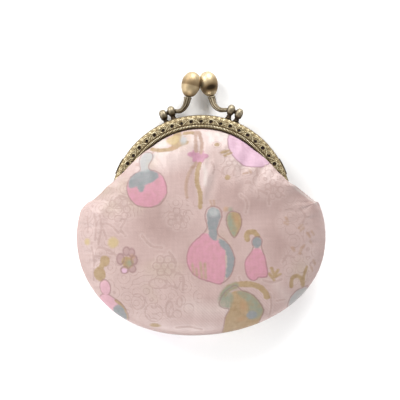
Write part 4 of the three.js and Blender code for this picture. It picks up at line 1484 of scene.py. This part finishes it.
def brocade_material():
    """Satin ground with the figure woven in: each colour has its own slightly ragged edge and its weft
    floats, thin outlines go round the gourds, and pale tone on tone drawings fill the ground."""
    material, tree, shader = new_material("pink_brocade")
    cloth_place = add_node(tree, "UVMap", uv_map="cloth").outputs[0]
    threads = noise_of(tree, cloth_place, 260, detail=2, stretch=(3.2, 0.5, 1))
    picks = noise_of(tree, cloth_place, 300, detail=2, stretch=(0.5, 3.4, 1))
    cloud = noise_of(tree, cloth_place, 55, detail=4, roughness=0.6)
    patchy = noise_of(tree, cloth_place, 420, detail=3, roughness=0.6)
    ragged = maths(tree, "ADD", uneven(tree, picks, 0.7), uneven(tree, patchy, 0.9))

    def field(name):
        return add_node(tree, "Attribute", attribute_name=name).outputs["Fac"]

    def plus(value, other):
        return maths(tree, "ADD", value, other)

    def times(value, share):
        return maths(tree, "MULTIPLY", value, share)

    def laid(share, under, tone):
        return blended(tree, share, under, (*tone, 1))

    def twill(scale, distortion, direction):
        inputs = {"Vector": cloth_place, "Scale": scale, "Distortion": distortion}
        return add_node(tree, "TexWave", inputs, bands_direction=direction).outputs[0]

    ground = blended(tree, ranged(tree, cloud, 0.35, 0.65), (*ground_dark, 1), (*ground_pale, 1))
    # painted light, painted shade and the tan haze laid over the ground
    for name, outer, inner, strength, tone in ground_parts:
        ground = laid(ranged(tree, field(name), outer, inner, 0, strength), ground, tone)
    # pale drawings: fine lines like contours inside their patches, and the larger strokes as listed
    rings = add_node(tree, "TexVoronoi", {"Vector": cloth_place, "Scale": 155.0, "Randomness": 0.9})
    contour = maths(tree, "ABSOLUTE", maths(tree, "SINE", times(rings.outputs[0], 13.0)))
    contour = ranged(tree, plus(contour, ragged), 0.40, 0.10)
    patch = ranged(tree, plus(field("drawn"), times(cloud, 6.0)), 4.6, 1.6)
    from_stroke = maths(tree, "ABSOLUTE", field("ghost"))
    stroke = ranged(tree, plus(from_stroke, ragged), 0.42, 0.12)
    drawn = maths(tree, "MAXIMUM", times(contour, patch), stroke)
    patch = maths(tree, "MAXIMUM", patch, ranged(tree, from_stroke, 1.5, 0.6))
    ground = laid(times(patch, 0.30), ground, (0.46, 0.355, 0.33))
    colour = laid(times(drawn, 0.40), ground, (0.25, 0.16, 0.14))
    raised = times(drawn, 0.55)
    for name, soft, first, second in weft:
        share = ranged(tree, plus(field(name), ragged), colour_edge + soft, colour_edge - soft)
        mottled = blended(tree, ranged(tree, patchy, 0.35, 0.65), (*first, 1), (*second, 1))
        raised = maths(tree, "MAXIMUM", raised, share)
        if soft > 0.4:
            share = times(share, ranged(tree, patchy, 0.32, 0.58, 0.60, 0.95))
        colour = blended(tree, share, colour, mottled)
    outline = maths(tree, "ABSOLUTE", plus(field("line"), times(ragged, 0.3)))
    outline = ranged(tree, outline, 0.44, 0.20, 0, 0.55)
    colour = laid(outline, colour, (0.20, 0.115, 0.11))
    # painted shadow along the seam under the belly
    colour = laid(times(field("seam_shadow"), 0.75), colour, (0.12, 0.075, 0.06))
    streak = ranged(tree, plus(threads, picks), 0.7, 1.3, 0.95, 1.04)
    shade = add_node(tree, "CombineXYZ", {0: streak, 1: streak, 2: streak}).outputs[0]
    colour = blended(tree, 1.0, colour, shade, mode="MULTIPLY")
    tree.links.new(colour, shader.inputs["Base Color"])
    tree.links.new(ranged(tree, raised, 0, 1, 0.40, 0.56), shader.inputs["Roughness"])
    # twill lines of the satin, finer across the figure's floats
    weave = blended(tree, raised, twill(420, 1.5, "DIAGONAL"), twill(520, 1.0, "X"))
    height = plus(times(weave, 0.4), times(raised, 1.2))
    height = plus(height, times(plus(threads, picks), 0.5))
    height = maths(tree, "SUBTRACT", height, times(outline, 0.9))
    tree.links.new(bumped(tree, height, 0.45, 0.00014), shader.inputs["Normal"])
    shader.inputs["Sheen Weight"].default_value = 0.08
    shader.inputs["Sheen Roughness"].default_value = 0.4
    shader.inputs["Specular IOR Level"].default_value = 0.5
    return material


def lining_material():
    """Plain satin lining, a little darker and smoother than the brocade."""
    material, tree, shader = new_material("satin_lining")
    cloth_place = add_node(tree, "UVMap", uv_map="cloth").outputs[0]
    threads = noise_of(tree, cloth_place, 300, detail=2, stretch=(4, 0.4, 1))
    colour = blended(tree, ranged(tree, threads, 0.3, 0.7), (0.34, 0.235, 0.21, 1), (0.38, 0.27, 0.245, 1))
    tree.links.new(colour, shader.inputs["Base Color"])
    tree.links.new(bumped(tree, threads, 0.2, 0.00008), shader.inputs["Normal"])
    shader.inputs["Roughness"].default_value = 0.42
    return material


def panel_mesh(shape, extra, slack, turned):
    """The wall of one panel in purse millimetres: fine brocade outside and plainer lining inside, joined
    along their edge. turned is true for the back."""
    cells = panel_cells + 2 * under_rows
    guide = bmesh.new()
    bmesh.ops.create_grid(guide, x_segments=cells, y_segments=cells, size=0.5)
    shares = np.array([(v.co.x + 0.5, v.co.y + 0.5) for v in guide.verts])
    guide.free()
    outer, outer_cloth, round_share, ring = panel_places(shares, cells, 0, shape)
    inner, inner_cloth, _, _ = panel_places(shares, cells, 1, shape)
    calm = outer.copy()
    into = (ring - under_rows) / (cells / 2 - under_rows)
    from_top = np.minimum(round_share, 1 - round_share)
    # the belly was sewn round with little spare cloth, so it stays smoother than the rest
    spare = 1 - 0.8 * rise(from_top, 0.28, 0.42) * (1 - rise(into, 0.25, 0.6))
    outer = outer + swollen(outer, shares, cells, ring, slack) * spare[:, None]
    # painted shadow along the seam, darkest under the belly, where the two panels are sewn and the cloth
    # rolls under
    seam_shadow = (ring <= under_rows + 1) * (1 - 0.5 * (ring > under_rows)) * rise(from_top, 0.39, 0.49)
    lift = gathers(round_share, ring, cells)
    lift = lift + rise(into, 0.03, 0.2) * pleated(outer, extra)
    outer[:, 2] += lift
    outer = np.where((ring <= under_rows)[:, None], calm, outer)
    if turned:
        outer = flattened(outer, 0)
    outside = smoothed(as_object("brocade_side", outer, outer_cloth, seam_shadow, cells), 2)
    lining = smoothed(as_object("lining_side", inner, inner_cloth, np.zeros(len(inner)), cells), 0)
    bmesh.ops.reverse_faces(lining, faces=lining.faces)
    lined = len(outside.faces)
    add_mesh(outside, lining)
    rim = [e for e in outside.edges if e.is_boundary]
    bmesh.ops.bridge_loops(outside, edges=rim)
    outside.faces.ensure_lookup_table()
    for f in outside.faces[lined:]:
        f.material_index = 1
    if turned:
        bmesh.ops.scale(outside, vec=(1, 1, -1), verts=outside.verts)
        bmesh.ops.reverse_faces(outside, faces=outside.faces)
    return outside


brocade = brocade_material()
satin_lining = lining_material()
next_length = (7.0, -24.0)
back_pleats = (
    (14.0, 8.0, -62, 16.0, 2.4, 0.30),
    (-22.0, 12.0, 40, 15.0, 2.2, 0.28),
    (38.0, -30.0, 50, 14.0, 2.4, 0.30),
    (-41.0, -26.0, -52, 14.0, 2.2, 0.30),
    (4.0, -50.0, 4, 20.0, 2.0, 0.26),
)


def weave_figure(panel, turned):
    """Gives a panel its cloth map and the distance of each vertex from each colour of the figure. The back
    is cut from the next length of the same cloth, so the figure there is turned half round and shifted."""
    mesh = panel.data
    cloth = np.empty((2, len(mesh.vertices)), np.float32)
    mesh.attributes["cloth_x"].data.foreach_get("value", cloth[0])
    mesh.attributes["cloth_y"].data.foreach_get("value", cloth[1])
    cloth = cloth.T
    if turned:
        cloth = np.array(next_length) - cloth
    for colour, shapes in figure.items():
        away = np.clip(np.min([shape(cloth) for shape in shapes], axis=0), -8, 8)
        mesh.attributes.new(colour, "FLOAT", "POINT").data.foreach_set("value", away.astype(np.float32))
    corners = np.empty(len(mesh.loops), np.int32)
    mesh.loops.foreach_get("vertex_index", corners)
    map_places = (cloth[corners] / 1000).astype(np.float32)
    mesh.uv_layers.new(name="cloth").data.foreach_set("uv", map_places.ravel())
    for key in ("cloth_x", "cloth_y"):
        mesh.attributes.remove(mesh.attributes[key])


panel_rows = (
    ("front", dented, pleats, 0.028, False),
    ("back", flattened, back_pleats, 0.032, True),
)
for half, shape, extra, slack, turned in panel_rows:
    bm = panel_mesh(shape, extra, slack, turned)
    panel = finished(bm, "brocade_panel_" + half, brocade, "panel_" + half)
    panel.data.materials.append(satin_lining)
    weave_figure(panel, turned)
